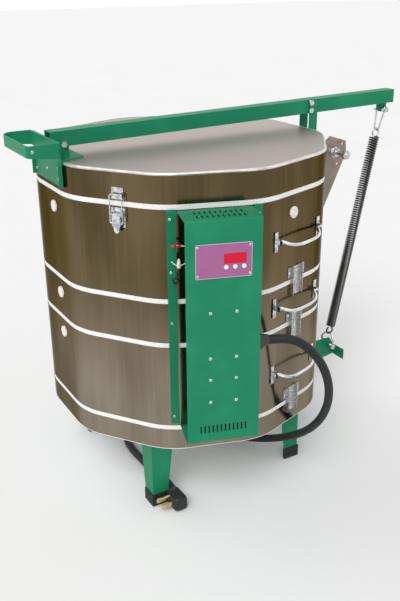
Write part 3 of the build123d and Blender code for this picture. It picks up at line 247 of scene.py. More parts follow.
def side_directions(angle):
    """Outward and lengthwise directions of a side that faces an angle in degrees, or of an array of sides."""
    turn = np.radians(angle)
    flat = np.zeros_like(turn)
    outward = np.stack([np.cos(turn), np.sin(turn), flat], axis=-1)
    lengthwise = np.stack([-np.sin(turn), np.cos(turn), flat], axis=-1)
    return outward, lengthwise


def round_wire(centres, radial, radius, sides):
    """Surface of a round wire: at each point of its line, a circle in the plane across the line,
    whose first direction is the given one made square to the line."""
    tangent = np.gradient(centres, axis=0)
    tangent /= np.linalg.norm(tangent, axis=1, keepdims=True)
    across = radial - tangent * np.sum(radial * tangent, axis=1, keepdims=True)
    across /= np.linalg.norm(across, axis=1, keepdims=True)
    other = np.cross(tangent, across)
    angles = np.linspace(0, 2 * pi, sides, endpoint=False)
    ring = (across[:, None, :] * np.cos(angles)[None, :, None]
            + other[:, None, :] * np.sin(angles)[None, :, None])
    return centres[:, None, :] + radius * ring


def grid_faces(rows, columns, wrap, start=0):
    """Four-sided faces between neighbouring rows and columns of a grid of points, wound to face outwards."""
    row = np.arange(rows - 1)[:, None]
    column = np.arange(columns if wrap else columns - 1)[None, :]
    after = (column + 1) % columns
    corners = [row * columns + column, row * columns + after, (row + 1) * columns + after,
               (row + 1) * columns + column]
    return start + np.stack(corners, axis=-1).reshape(-1, 4)


def tube_faces(rows, columns, start=0):
    """Faces of a closed tube: its side, and one face over either end."""
    first_end = [start + column for column in reversed(range(columns))]
    last_end = [start + (rows - 1) * columns + column for column in range(columns)]
    return grid_faces(rows, columns, True, start).tolist() + [first_end, last_end]


def add_piece(name, form, material, body, smooth=True):
    """Makes a mesh from a form, which is its points and its faces, and fixes it to a body."""
    points, faces = form
    mesh = bpy.data.meshes.new(name)
    mesh.from_pydata(points.reshape(-1, 3).tolist(), [], [list(face) for face in faces])
    mesh.materials.append(material)
    mesh.polygons.foreach_set("use_smooth", np.full(len(mesh.polygons), smooth))
    made = bpy.data.objects.new(name, mesh)
    scene.collection.objects.link(made)
    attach(made, body)
    return made


def wire_form(lines, radius, sides):
    """Points and faces of several round wires, each closed by a flat end."""
    points = []
    faces = []
    start = 0
    for centres, radial in lines:
        points.append(round_wire(centres, radial, radius, sides).reshape(-1, 3))
        faces.extend(tube_faces(len(centres), sides, start))
        start += len(centres) * sides
    return np.concatenate(points), faces


def element_line(height):
    """Line of one element: a helix about a line that runs once round the ten sides, from the one feed-through
    in the box side to the other. Near a corner the helix leans over towards the next side, by half a turn of
    the corner times the square of how near it is."""
    length = 2 * ELEMENT_LINE * tan(pi / SIDES)
    turns = int(SIDES * length / ELEMENT_PITCH)
    run = np.linspace(0.5 * length + ELEMENT_END, (SIDES + 0.5) * length - ELEMENT_END, turns * TURN_POINTS)
    side = np.floor(run / length)
    along = run - (side + 0.5) * length
    after_corner = np.clip(1 - (along + length / 2) / ELEMENT_BEND, 0, 1)
    before_corner = np.clip(1 - (length / 2 - along) / ELEMENT_BEND, 0, 1)
    turning = 0.5 * after_corner ** 2 - 0.5 * before_corner ** 2
    outward, lengthwise = side_directions(BOX_SIDE + 360 / SIDES * side)
    leaning = side_directions(BOX_SIDE + 360 / SIDES * (side - turning))[0]
    phase = np.linspace(0, 2 * pi * turns, len(run))[:, None]
    upward = np.array([[0.0, 0.0, 1.0]])
    radial = leaning * np.cos(phase) + upward * np.sin(phase)
    centre = outward * ELEMENT_LINE + lengthwise * along[:, None] + upward * (height - ELEMENT_SINK)
    return centre + ELEMENT_COIL * radial, radial


def oxidised_wire():
    """Resistance wire with a grey-brown skin from firing."""
    wire = Surface("oxidised element wire")
    patches = wire.noise(0.03, detail=4.0)
    return wire.shade(base_color=wire.between(patches, (0.16, 0.14, 0.125), (0.30, 0.265, 0.235)),
                      metallic=0.75, roughness=0.55 + 0.2 * patches)


element_lines = [element_line(height) for height in ELEMENT_HEIGHTS]
heating_coils = add_piece("heating_coils", wire_form(element_lines, ELEMENT_WIRE, 4), oxidised_wire(), "kiln")
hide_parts("heating_elements")

# Jackets and bands: bright rolled stainless steel sheet, 1 mm thick, bent round the bricks.
# Its brown colour and its broad upright streaks are painted reflections of a brown room around it; it is
# browner and darker towards the top, and fine upright streaks from rolling run through it.
TINT_FROM = 0.02             # heights between which the tint grows
TINT_TO = 0.42


def steel_with_painted_reflections():
    """Bright sheet whose brown colour and broad upright streaks are painted reflections, with fine rolling
    grain, browner and darker with height.
    """
    steel = Surface("stainless sheet with painted reflections")
    height = steel.height()
    warm = steel.part_of(height, TINT_FROM, TINT_TO)
    # painted reflection: the broad upright streaks and the brown colours stand in for reflections of the room
    # around the kiln
    broad_painted_reflection = steel.noise(0.15, stretch=(1, 1, 0.32), detail=2.0)
    narrow = steel.noise(0.011, stretch=(1, 1, 0.02), detail=4.0)
    streaks = steel.part_of(0.80 * broad_painted_reflection + 0.20 * narrow, 0.36, 0.64)
    cool = steel.between(streaks, (0.222, 0.184, 0.138), (0.325, 0.280, 0.222))
    tinted = steel.between(streaks, (0.100, 0.073, 0.034), (0.174, 0.130, 0.070))
    rolled = steel.noise(0.0012, stretch=(1, 1, 0.02), detail=2.0)
    return steel.shade(base_color=steel.between(warm, cool, tinted), metallic=1.0,
                       specular_tint=(0.42, 0.40, 0.36), roughness=0.10 + 0.10 * narrow,
                       normal=steel.bump(rolled, 0.00002))


finish_nodes(steel_with_painted_reflections(), "floor_band", "jacket_lower", "jacket_middle", "jacket_upper", "lid_band")

# Hinge bracket: a channel of stainless plate, thicker than the jackets and left as it was rolled.
# Its web lies on the upper ring at the back, and its two wings hold the hinge rod.


def mill_finish_steel():
    """Thicker plate in a duller mill finish, with cloudy patches."""
    plate = Surface("mill finish stainless plate")
    cloud = plate.part_of(plate.noise(0.05, detail=4.0), 0.3, 0.7)
    scratches = plate.noise(0.0014, stretch=(1, 1, 0.05), detail=2.0)
    return plate.shade(base_color=plate.between(cloud, (0.235, 0.190, 0.162), (0.330, 0.275, 0.240)),
                       metallic=1.0, roughness=0.30 + 0.12 * cloud, normal=plate.bump(scratches, 0.00003))


finish_nodes(mill_finish_steel(), "hinge_bracket")

# Lid sheet: stainless sheet with a satin grain, laid over the lid's brick and held by the band round it.
# It takes a grey and faintly mauve look from the light.


def satin_sheet():
    """Satin sheet with a fine crossed grain and a few faint wipe marks."""
    sheet = Surface("satin lid sheet")
    grain = sheet.noise(0.0016, stretch=(0.05, 1, 1), detail=2.0)
    wipes = sheet.noise(0.16, stretch=(1, 0.35, 1), detail=3.0)
    return sheet.shade(base_color=sheet.between(wipes, (0.415, 0.345, 0.325), (0.510, 0.432, 0.408)),
                       metallic=1.0, roughness=0.36 + 0.10 * wipes, normal=sheet.bump(grain, 0.00002))


finish_nodes(satin_sheet(), "lid_top_sheet")

# Rim of the lid's sheet: the edge of the satin sheet is turned down over the top of the band, and the fold is
# painted much lighter than the sheet as a painted highlight. Its section is a thin strip that rises on the
# band, rounds the corner and meets the sheet.
JACKET = 0.3745              # from the kiln's axis to the face of a jacket, and of the lid's band
CORNER_RADIUS = 0.164        # of the bands and jackets
RIM_SECTION = (              # out from the band's face, and height
    (-0.0006, 0.6430), (0.0005, 0.6430), (0.0005, 0.6464), (-0.0002, 0.6476), (-0.0014, 0.6484),
    (-0.0056, 0.6487), (-0.0056, 0.6479), (-0.0018, 0.6474), (-0.0006, 0.6460),
)


def fold_with_painted_highlight():
    """The same satin steel painted much lighter as a painted highlight along the fold, with faint darker
    spots.
    """
    fold = Surface("lid sheet fold with painted highlight")
    darker_spots = fold.part_of(fold.noise(0.02, detail=3.0), 0.35, 0.7)
    # painted highlight: the fold's colours are far lighter than the sheet's, standing in for the light that
    # its rounding catches
    return fold.shade(base_color=fold.between(darker_spots, (0.86, 0.82, 0.78), (0.66, 0.61, 0.57)), metallic=1.0,
                      roughness=0.34 + 0.10 * darker_spots)


def rim_outline(out):
    """Outline of ten straight sides joined by arcs of 36 degrees. The arcs' centres lie on the corners' lines
    and stay there, while their radius grows by the offset, so the straight sides stay parallel."""
    corner = np.radians(-90 + 180 / SIDES + 360 / SIDES * np.arange(SIDES))[:, None]
    spread = np.radians(np.linspace(-180 / SIDES, 180 / SIDES, 13))[None, :]
    centre = (JACKET - CORNER_RADIUS) / cos(pi / SIDES)
    radius = CORNER_RADIUS + out
    x = centre * np.cos(corner) + radius * np.cos(corner + spread)
    y = centre * np.sin(corner) + radius * np.sin(corner + spread)
    return np.stack([x.ravel(), y.ravel()], axis=-1)


def ring_form(outlines):
    """A closed section carried round a closed outline: one outline to each point of the section, with faces
    between neighbouring outlines and between the last and the first."""
    points = np.stack(outlines)
    rows, columns = points.shape[:2]
    return points, grid_faces(rows + 1, columns, True) % (rows * columns)


rim_rows = []
for rim_out, rim_height in RIM_SECTION:
    outline = rim_outline(rim_out)
    rim_rows.append(np.column_stack([outline, np.full(len(outline), rim_height)]))
add_piece("lid_sheet_rim", ring_form(rim_rows), fold_with_painted_highlight(), "lid")

# Bracket of the lid: bent steel sheet, powder coated and screwed to the front of the band. Its apron is the
# solid's own, trimmed as the photo shows it: shorter below the lid's top, and narrower on its left.
APRON_TOP = 0.6400           # height
APRON_SHORTER = 0.83         # share of its drop that is kept
APRON_FACE = -0.3735         # the apron and its returns lie in front of this
LEFT_WIDTH = 0.87            # share of the left half's width that is kept
RIGHT_WIDTH = 0.97           # the same for the right half


def merged_triangles(name):
    """Points and triangles of a frame node's solid, with the points that lie on each other made one."""
    mesh = nodes[name].data
    points = np.empty(3 * len(mesh.vertices))
    mesh.vertices.foreach_get("co", points)
    corners = np.empty(len(mesh.loops), dtype=int)
    mesh.loops.foreach_get("vertex_index", corners)
    points, place = np.unique(points.reshape(-1, 3).round(6), axis=0, return_inverse=True)
    return points, place.reshape(-1)[corners].reshape(-1, 3)


def trimmed_apron():
    """The solid's points, with the heights below the apron's top drawn up towards it in proportion and the
    places across the apron drawn in towards its middle in proportion."""
    points, faces = merged_triangles("lid_bracket")
    points[:, 2] += (APRON_SHORTER - 1) * np.minimum(points[:, 2] - APRON_TOP, 0)
    kept_width = np.where(points[:, 0] < 0, LEFT_WIDTH, RIGHT_WIDTH)
    points[:, 0] *= np.where(points[:, 1] < APRON_FACE, kept_width, 1)
    return points, faces


lid_apron = add_piece("lid_bracket_sheet", trimmed_apron(), green_coat, "lid", smooth=False)
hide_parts("lid_bracket")

# Handle of the lid: a flat bar bent into an open frame, welded to the front of the bracket and powder coated.
# Its left front corner is bent wider than the right one, and its lower edge rises towards the front.
GRIP_HALF = 0.100            # half of the frame's width
GRIP_REAR = -0.3770
GRIP_FRONT = -0.4560
GRIP_TOP = 0.6950
GRIP_BAR = 0.0035            # thickness of the bar
GRIP_HEIGHTS = (0.036, 0.028)        # of the bar, at the rear and at the front
GRIP_CORNERS = (             # side, way to the arc's middle, radius, and where the arc starts in degrees
    (1, 1, 0.010, -90), (1, -1, 0.004, 0), (-1, -1, 0.004, 90), (-1, 1, 0.034, 180),
)
GRIP_SECTION = (             # share of the bar's thickness, inwards, and of its height, upwards
    (0, 0.02), (0, 0.98), (0.14, 1), (0.86, 1), (1, 0.98), (1, 0.02), (0.86, 0), (0.14, 0),
)


def bent_frame():
    """A rectangle whose corners are quarter circles. Each row of the section is that outline, moved in by a
    share of the bar's thickness and lifted to a share of its height, which changes in a straight line from
    the rear to the front."""
    rows = []
    for share_in, share_up in GRIP_SECTION:
        outline = []
        for side, inward, radius, start in GRIP_CORNERS:
            turn = np.radians(start + np.linspace(0, 90, 13))
            reach = radius - share_in * GRIP_BAR
            x = side * (GRIP_HALF - radius) + reach * np.cos(turn)
            y = (GRIP_FRONT if inward > 0 else GRIP_REAR) + inward * radius + reach * np.sin(turn)
            outline.append(np.stack([x, y], axis=-1))
        outline = np.concatenate(outline)
        forward = (GRIP_REAR - outline[:, 1]) / (GRIP_REAR - GRIP_FRONT)
        bar_height = GRIP_HEIGHTS[0] + (GRIP_HEIGHTS[1] - GRIP_HEIGHTS[0]) * forward
        rows.append(np.column_stack([outline, GRIP_TOP - (1 - share_up) * bar_height]))
    return rows


lid_grip = add_piece("lid_handle_bar", ring_form(bent_frame()), green_coat, "lid",
                     smooth=False)
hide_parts("lid_handle")

# Peephole plugs: tapered plugs of pressed white ceramic, pushed by hand into holes through the brick, three
# in front and one on the right. The feed-throughs and the thermocouple's tube are of the same ceramic.


def chalky_ceramic():
    """Pressed ceramic with a fine tooth and faint handling marks."""
    ceramic = Surface("chalky ceramic")
    marks = ceramic.part_of(ceramic.noise(0.014, detail=5.0), 0.5, 0.8)
    return ceramic.shade(base_color=ceramic.between(marks, (0.86, 0.84, 0.80), (0.66, 0.61, 0.54)),
                         roughness=0.72, normal=ceramic.bump(ceramic.noise(0.0007), 0.0001))


ceramic_white = chalky_ceramic()
finish_nodes(ceramic_white, "element_terminals", "thermocouple")
FRONT = -90.0                # degrees that the named sides face
LATCH_SIDE = -54.0
HANDLE_SIDE = 18.0
FAR_HANDLE_SIDE = 198.0
PLUG_BURIED = 0.072          # depth of the inner end behind the jacket's face
PLUG_PROUD = 0.0055          # how far the face stands before it
PLUG_TIP = 0.011             # radius at the inner end
PLUG_FLARE = 0.0455          # growth of the radius along the plug
PLUG_EDGE = 0.0028           # radius of the rounded rim
PLUG_LAND = 0.0015           # width of the flat between the rounded rim and the hollow in the face
PLUG_DISH = 0.0008           # depth of that hollow
PLUG_MIDDLE = 0.001          # radius of its flat middle
PLUG_PLACES = (              # node, body, side, place along the side, height
    ("upper_peephole_plug", "upper_front_plug", FRONT, 0.026, 0.529),
    ("middle_peephole_plug", "middle_front_plug", FRONT, 0.026, 0.301),
    ("lower_peephole_plug", "lower_front_plug", FRONT, 0.026, 0.1895),
    ("side_peephole_plug", "side_plug", HANDLE_SIDE, -0.015, 0.522),
)


def on_side(angle, out, along, height):
    """Point on a side, and the side's outward and lengthwise directions."""
    outward, lengthwise = side_directions(angle)
    return outward * out + lengthwise * along + np.array([0, 0, height]), outward, lengthwise


def turned_form(places, profile, spokes):
    """Points and faces of one round form per place: each radius of the profile is swept round the place's
    outward direction at its distance along it, and both ends are closed."""
    angle = np.linspace(0, 2 * pi, spokes, endpoint=False)
    radius = profile[:, 0, None]
    flat = np.stack([radius * np.cos(angle), radius * np.sin(angle), profile[:, 1, None] + 0 * angle],
                    axis=-1)
    points = []
    faces = []
    for number, (middle, outward, lengthwise) in enumerate(places):
        axes = np.stack([lengthwise, np.cross(outward, lengthwise), outward])
        points.append((middle + flat @ axes).reshape(-1, 3))
        faces.extend(tube_faces(len(profile), spokes, number * len(profile) * spokes))
    return np.concatenate(points), faces


def plug_profile():
    """Straight taper to the rim, a quarter circle over the edge, and a face dished by a shallow parabola."""
    rim = PLUG_TIP + PLUG_FLARE * (PLUG_BURIED + PLUG_PROUD)
    turn = np.linspace(0, pi / 2, 7)
    edge = np.stack([rim - PLUG_EDGE * (1 - np.cos(turn)),
                     PLUG_PROUD - PLUG_EDGE * (1 - np.sin(turn))], axis=-1)
    taper = np.array([[PLUG_TIP, -PLUG_BURIED]])
    dish = np.linspace(rim - PLUG_EDGE - PLUG_LAND, PLUG_MIDDLE, 6)
    depth = PLUG_PROUD - PLUG_DISH * (1 - (dish / dish[0]) ** 2)
    return np.concatenate([taper, edge, np.stack([dish, depth], axis=-1)])


for plug_node, plug_body, plug_side, plug_along, plug_height in PLUG_PLACES:
    plug_place = on_side(plug_side, JACKET, plug_along, plug_height)
    ceramic_plug = add_piece(f"{plug_node}_ceramic", turned_form([plug_place], plug_profile(), 40),
                             ceramic_white, plug_body)
    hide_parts(plug_node)

# Draw latch: pressed steel and wire, chromium plated. A base and a keeper are riveted to the sheet, a lever
# turns in the base and a wire bail turns on the lever. Base, lever and bail are the solids' own, drawn in
# along the axis that they turn about.


def bright_plating(name, colour, roughness, mottle, contrast=0.70):
    """Bright plating with cloudy patches: rougher where the cloud is thick, and darker there as painted
    reflection.
    """
    plating = Surface(name)
    cloud = plating.noise(mottle, detail=4.0)
    fine = plating.noise(0.002, detail=2.0)
    # painted reflection: the darker cloudy patches stand in for dark surroundings reflected in the plating
    painted_reflection_colour = [contrast * part for part in colour]
    return plating.shade(base_color=plating.between(plating.part_of(cloud, 0.38, 0.62), colour, painted_reflection_colour),
                         metallic=1.0, roughness=roughness + 0.12 * cloud, normal=plating.bump(fine, 0.00003))


chrome = bright_plating("chromium plate", (0.82, 0.84, 0.87), 0.17, 0.011, contrast=0.55)
finish_nodes(chrome, "latch_keeper")
LATCH_MIDDLE = 0.012         # along its side
LATCH_WIDTH = 0.80           # share of the solids' width that is kept, as the photo shows the latch narrower
LATCH_SHARP = 35.0           # edges bent by more degrees than this are sharp
LATCH_PARTS = (("latch_base", "kiln"), ("latch_lever", "latch_lever"), ("latch_bail", "latch_bail"))
latch_across = on_side(LATCH_SIDE, 0, 0, 0)[2]
for latch_node, latch_body in LATCH_PARTS:
    latch_points, latch_faces = merged_triangles(latch_node)
    latch_along = latch_points @ latch_across - LATCH_MIDDLE
    latch_points += (LATCH_WIDTH - 1) * latch_along[:, None] * latch_across
    latch_part = add_piece(f"{latch_node}_plated", (latch_points, latch_faces), chrome, latch_body)
    latch_part.data.set_sharp_from_angle(angle=radians(LATCH_SHARP))
    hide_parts(latch_node)

# Lifting handles: a bow of bent rod whose ends turn in the eyes of two riveted end plates, chromium plated.
# They hang out and down from their eyes, three on each of two opposite sides.
finish_nodes(chrome, "handle_plates")
rod_chrome = bright_plating("polished handle rod", (0.84, 0.86, 0.89), 0.05, 0.040, contrast=0.74)
HANDLE_HEIGHTS = {"upper": 0.463, "middle": 0.292, "lower": 0.108}
HANDLE_WIRE = 0.009          # thickness of the rod
HANDLE_PIVOT = JACKET + 0.010        # from the kiln's axis to the eyes' middle
HANDLE_HANG = Vector((0.0254, 0, -0.011)).normalized()       # outwards and down
HANDLE_DROP = 0.0277         # from the eyes' middle to the bow's
HANDLE_BOW = (               # along the side, and share of the way out: the rod's ends lie in the eyes
    (-0.078, 0), (-0.0705, 0), (-0.0665, 0.04), (-0.061, 0.38), (-0.048, 0.78), (-0.024, 0.99), (0.005, 1.0),
    (0.034, 0.99), (0.058, 0.78), (0.071, 0.38), (0.0765, 0.04), (0.0805, 0), (0.088, 0),
)


def bent_rod(name, controls, thickness, steps, round_steps, material):
    """Round rod with flat ends along a NURBS line of order 3, from the first control point to the last."""
    curve = bpy.data.curves.new(name, "CURVE")
    curve.dimensions = "3D"
    line = curve.splines.new("NURBS")
    line.points.add(len(controls) - 1)
    for control, place in zip(line.points, controls):
        control.co = (*place, 1)
    line.order_u = 3
    line.use_endpoint_u = True
    curve.resolution_u = steps
    curve.bevel_depth = thickness / 2
    curve.bevel_resolution = round_steps
    curve.use_fill_caps = True
    curve.materials.append(material)
    rod = bpy.data.objects.new(name, curve)
    scene.collection.objects.link(rod)
    return rod


for handle_side, side_word in ((HANDLE_SIDE, "right"), (FAR_HANDLE_SIDE, "left")):
    for level_word, handle_height in HANDLE_HEIGHTS.items():
        pivot, outward, lengthwise = on_side(handle_side, HANDLE_PIVOT, 0, handle_height)
        hang = outward * HANDLE_HANG.x + np.array([0, 0, HANDLE_HANG.z])
        bow = [pivot + along * lengthwise + out * HANDLE_DROP * hang for along, out in HANDLE_BOW]
        handle_rod = bent_rod(f"{level_word}_{side_word}_handle_rod", bow, HANDLE_WIRE, 12, 6, rod_chrome)
        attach(handle_rod, f"{level_word}_{side_word}_bail")
        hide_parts(f"{level_word}_{side_word}_handle")

# Hinge rod, nuts and bolts, the spring's shackle and its top link: zinc plated steel. The guide clips that
# line the rings up are bent from galvanised sheet and riveted to the jackets.
zinc = bright_plating("zinc plate", (0.66, 0.67, 0.68), 0.20, 0.006)
finish_nodes(zinc, "hinge_rod", "frame_fasteners", "lid_fasteners", "spring_shackle", "top_link")


def galvanised_sheet():
    """Galvanised sheet, greyer than plate, with the flakes of hot-dip zinc."""
    sheet = Surface("galvanised clip sheet")
    shade = sheet.add("ShaderNodeSeparateColor", None, {0: sheet.cells(260.0, 1.0, output="Color")})
    return sheet.shade(base_color=sheet.between(shade, (0.34, 0.335, 0.33), (0.64, 0.64, 0.645)),
                       metallic=1.0, roughness=0.28 + 0.18 * shade)


finish_nodes(galvanised_sheet(), "guide_brackets")

# Rivets and screws: low round heads of plated steel, some with a cross recess for a screwdriver.
# They fix the clips, handle plates, latch, box strips, box contents, controller and the lid's bracket.
HEAD_RINGS = 7
HEAD_SPOKES = 24
HEAD_ROUND = 0.80            # 1 is half an ellipse, 0 is flat
HEAD_FOOT = -0.0002          # height of the rim's foot, a little behind the face that the head sits on
RECESS_WIDTH = 0.13          # half width, reach and depth of the cross: shares of the radius and of the rise
RECESS_REACH = 0.55
RECESS_DEPTH = 0.55
SHEET_FACE = JACKET + 0.002          # face of the clips, the strips and the latch's base
PLATE_FACE = JACKET + 0.0025         # face of the handles' end plates and of the lid bracket's apron


def head_grid(radius, rise, recess):
    """One head as a grid of rings and spokes: its height follows the top of an ellipse, less a cross-shaped
    recess where one of |x| and |y| is small and the other not too large."""
    share = np.concatenate([np.linspace(0.02, 0.96, HEAD_RINGS), [1.0, 1.0]])[:, None]
    angle = np.linspace(0, 2 * pi, HEAD_SPOKES, endpoint=False)[None, :]
    x = radius * share * np.cos(angle)
    y = radius * share * np.sin(angle)
    z = rise * np.sqrt(np.clip(1 - HEAD_ROUND * share ** 2, 0, 1)) * np.ones_like(angle)
    z[-1] = HEAD_FOOT
    if recess:
        nearer, further = np.minimum(abs(x), abs(y)), np.maximum(abs(x), abs(y))
        in_cross = (nearer < RECESS_WIDTH * radius) & (further < RECESS_REACH * radius)
        z = np.where(in_cross, z - RECESS_DEPTH * rise, z)
    return np.stack([x, y, z], axis=-1)


def add_heads(name, places, radius, rise, recess, material, body):
    """Many equal heads, each at a point with an outward and a lengthwise direction."""
    head = head_grid(radius, rise, recess)
    rows, columns = head.shape[:2]
    points = []
    faces = []
    for number, (middle, outward, lengthwise) in enumerate(places):
        upward = np.cross(outward, lengthwise)
        placed = middle + head[..., :1] * lengthwise + head[..., 1:2] * upward + head[..., 2:] * outward
        start = number * rows * columns
        points.append(placed.reshape(-1, 3))
        turned = grid_faces(rows, columns, True, start)[:, ::-1]
        faces.extend(turned.tolist())
        faces.append([start + spoke for spoke in range(columns)])
    add_piece(name, (np.concatenate(points), faces), material, body)


CLIP_JOINTS = ((0.3429, 0.0374), (0.2286, 0.043), (0.0, 0.031))      # height, and the clip's drop below it
clip_places = []
for clip_side in (HANDLE_SIDE, FAR_HANDLE_SIDE):
    for joint_height, drop in CLIP_JOINTS:
        for along, rise in ((-0.023, 0.024), (0.033, 0.024), (0.005, 0.026), (0.005, 0.007), (0.005, -0.011),
                            (0.005, 0.006 - drop)):
            clip_places.append(on_side(clip_side, SHEET_FACE, along, joint_height + rise))
add_heads("clip_rivets", clip_places, 0.0040, 0.0024, False, chrome, "kiln")

handle_places = []
for handle_side in (HANDLE_SIDE, FAR_HANDLE_SIDE):
    for handle_height in HANDLE_HEIGHTS.values():
        for handle_end in (-0.082, 0.092):
            for plate_end in (-0.018, 0.018):
                handle_places.append(on_side(handle_side, PLATE_FACE, handle_end, handle_height + plate_end))
add_heads("handle_rivets", handle_places, 0.0036, 0.0018, False, chrome, "kiln")

latch_places = [on_side(LATCH_SIDE, SHEET_FACE, LATCH_MIDDLE + LATCH_WIDTH * spread, height)
                for spread in (-0.019, 0.019) for height in (0.5205, 0.5575)]
add_heads("latch_rivets", latch_places, 0.0022, 0.0012, False, chrome, "kiln")
keeper_places = [on_side(LATCH_SIDE, SHEET_FACE, LATCH_MIDDLE + spread, 0.603)
                 for spread in (-0.008, 0.008)]
add_heads("keeper_rivets", keeper_places, 0.0022, 0.0012, False, chrome, "lid")

BOX_FACE = 0.4645            # from the kiln's axis to the front of the control box
box_places = [on_side(BOX_SIDE, BOX_FACE, along, height)
              for along in (-0.0315, 0.0305) for height in (0.3455, 0.2315, 0.1755, 0.1165)]
add_heads("box_screws", box_places, 0.0042, 0.0024, True, zinc, "kiln")
strip_places = [on_side(BOX_SIDE, SHEET_FACE, along, height)
                for along in (-0.1035, 0.1035) for height in (0.545, 0.418, 0.29, 0.037)]
add_heads("strip_screws", strip_places, 0.0038, 0.0022, True, zinc, "kiln")
plate_places = [on_side(BOX_SIDE, BOX_FACE + 0.0016, along, height)
                for along in (-0.0605, 0.0590) for height in (0.4365, 0.5035)]
add_heads("controller_screws", plate_places, 0.0033, 0.0018, True, zinc, "kiln")
bracket_places = [on_side(FRONT, PLATE_FACE, along, height)
                  for along, height in ((-0.075, 0.604), (0.075, 0.604), (-0.075, 0.631), (0.075, 0.631),
                                        (0.0, 0.6175))]
add_heads("bracket_screws", bracket_places, 0.0040, 0.0022, True, zinc, "lid")
grip_places = [(np.array([side * GRIP_HALF, -0.443, 0.681]), np.array([side, 0.0, 0.0]),
                np.array([0.0, side, 0.0])) for side in (-1.0, 1.0)]
add_heads("grip_screws", grip_places, 0.0042, 0.0022, True, zinc, "lid")

# Lift spring: a long spring of round wire that pulls the arm's rear end down, so that the lid rises easily.
# It is stretched when the lid is shut. Its ends are bent into loops that hook over the shackle and the link.
SPRING_ANCHOR = np.array([0.0, 0.534, -0.0855])      # middle of the shackle's pin
SPRING_PULL = np.array([0.0, 0.6925, 0.66681])       # middle of the arm's pin
SPRING_COIL = 0.01285        # radius of the coil at the middle of its wire
SPRING_WIRE = 0.00265        # radius
SPRING_LOOP = 0.01175        # radius of the loops at its ends
LOWER_LOOP = 0.04685         # middles of the loops and ends of the coil, along the line from the lower pin
UPPER_LOOP = 0.6978
COIL_FROM = 0.0609
COIL_TO = 0.6838
SPRING_TURNS = 88
PLATED_FROM = 0.585          # height above which the wire looks plated
spring_line = SPRING_PULL - SPRING_ANCHOR
spring_line /= np.linalg.norm(spring_line)
spring_side = np.cross(spring_line, [1.0, 0.0, 0.0])


def spring_path():
    """Line of the wire: a loop in the plane of the spring's line, a quarter turn that swings out of it into
    the coil, the helix, and the same again at the upper end."""
    loop_steps = 40
    blend_steps = 14
    coil_steps = SPRING_TURNS * 18
    loop_low = np.radians(np.linspace(-235, 60, loop_steps))
    blend_low = np.radians(np.linspace(60, 120, blend_steps + 2)[1:-1])
    turn_low = np.radians(np.linspace(10, 90, blend_steps + 2)[1:-1])
    turn = np.radians(np.linspace(90, 90 + 360 * SPRING_TURNS, coil_steps))
    turn_high = np.radians(np.linspace(90, 170, blend_steps + 2)[1:-1])
    blend_high = np.radians(np.linspace(-120, -60, blend_steps + 2)[1:-1])
    loop_high = np.radians(np.linspace(-60, 235, loop_steps))

    def loop(angle, centre):
        return np.stack([0 * angle, SPRING_LOOP * np.cos(angle), centre + SPRING_LOOP * np.sin(angle)],
                        axis=-1)

    def coil(angle, height):
        return np.stack([SPRING_COIL * np.cos(angle), SPRING_COIL * np.sin(angle), height + 0 * angle],
                        axis=-1)

    def loop_out(angle):
        return np.stack([0 * angle, np.cos(angle), np.sin(angle)], axis=-1)

    def coil_out(angle):
        return np.stack([np.cos(angle), np.sin(angle), 0 * angle], axis=-1)

    ease = np.linspace(0, 1, blend_steps + 2)[1:-1, None]
    ease = ease * ease * (3 - 2 * ease)
    rise = np.linspace(COIL_FROM, COIL_TO, coil_steps)
    places = np.concatenate([
        loop(loop_low, LOWER_LOOP),
        (1 - ease) * loop(blend_low, LOWER_LOOP) + ease * coil(turn_low, COIL_FROM),
        coil(turn, rise),
        (1 - ease) * coil(turn_high, COIL_TO) + ease * loop(blend_high, UPPER_LOOP),
        loop(loop_high, UPPER_LOOP)])
    radial = np.concatenate([
        loop_out(loop_low),
        (1 - ease) * loop_out(blend_low) + ease * coil_out(turn_low),
        coil_out(turn),
        (1 - ease) * coil_out(turn_high) + ease * loop_out(blend_high),
        loop_out(loop_high)])
    axes = np.stack([np.array([1.0, 0.0, 0.0]), spring_side, spring_line])
    return SPRING_ANCHOR + places @ axes, radial @ axes


def oiled_spring_steel():
    """Dark oiled wire, with a plated look on the upper loop."""
    steel = Surface("oiled spring steel")
    film = steel.noise(0.01, detail=4.0)
    height = steel.height()
    plated = steel.part_of(height, PLATED_FROM - 0.002, PLATED_FROM + 0.002)
    dark = steel.between(film, (0.045, 0.041, 0.039), (0.120, 0.112, 0.105))
    return steel.shade(base_color=steel.between(plated, dark, (0.56, 0.57, 0.58)), metallic=1.0,
                       roughness=0.18 + 0.14 * film)


spring_wire = add_piece("spring_wire", wire_form([spring_path()], SPRING_WIRE, 8), oiled_spring_steel(),
                        "spring")
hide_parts("lift_spring")
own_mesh(spring_wire)

# Controller: a magenta-purple printed plate with a bare metal rim, a red display window and three white
# buttons, on the front of the box. The board and the relays are behind it.
CONTROLLER_MIDDLE = (-0.00075, 0.470)        # along the box side, and height
CONTROLLER_HALF = (0.06425, 0.040)
RIM = 0.0009                 # width of the bare edge


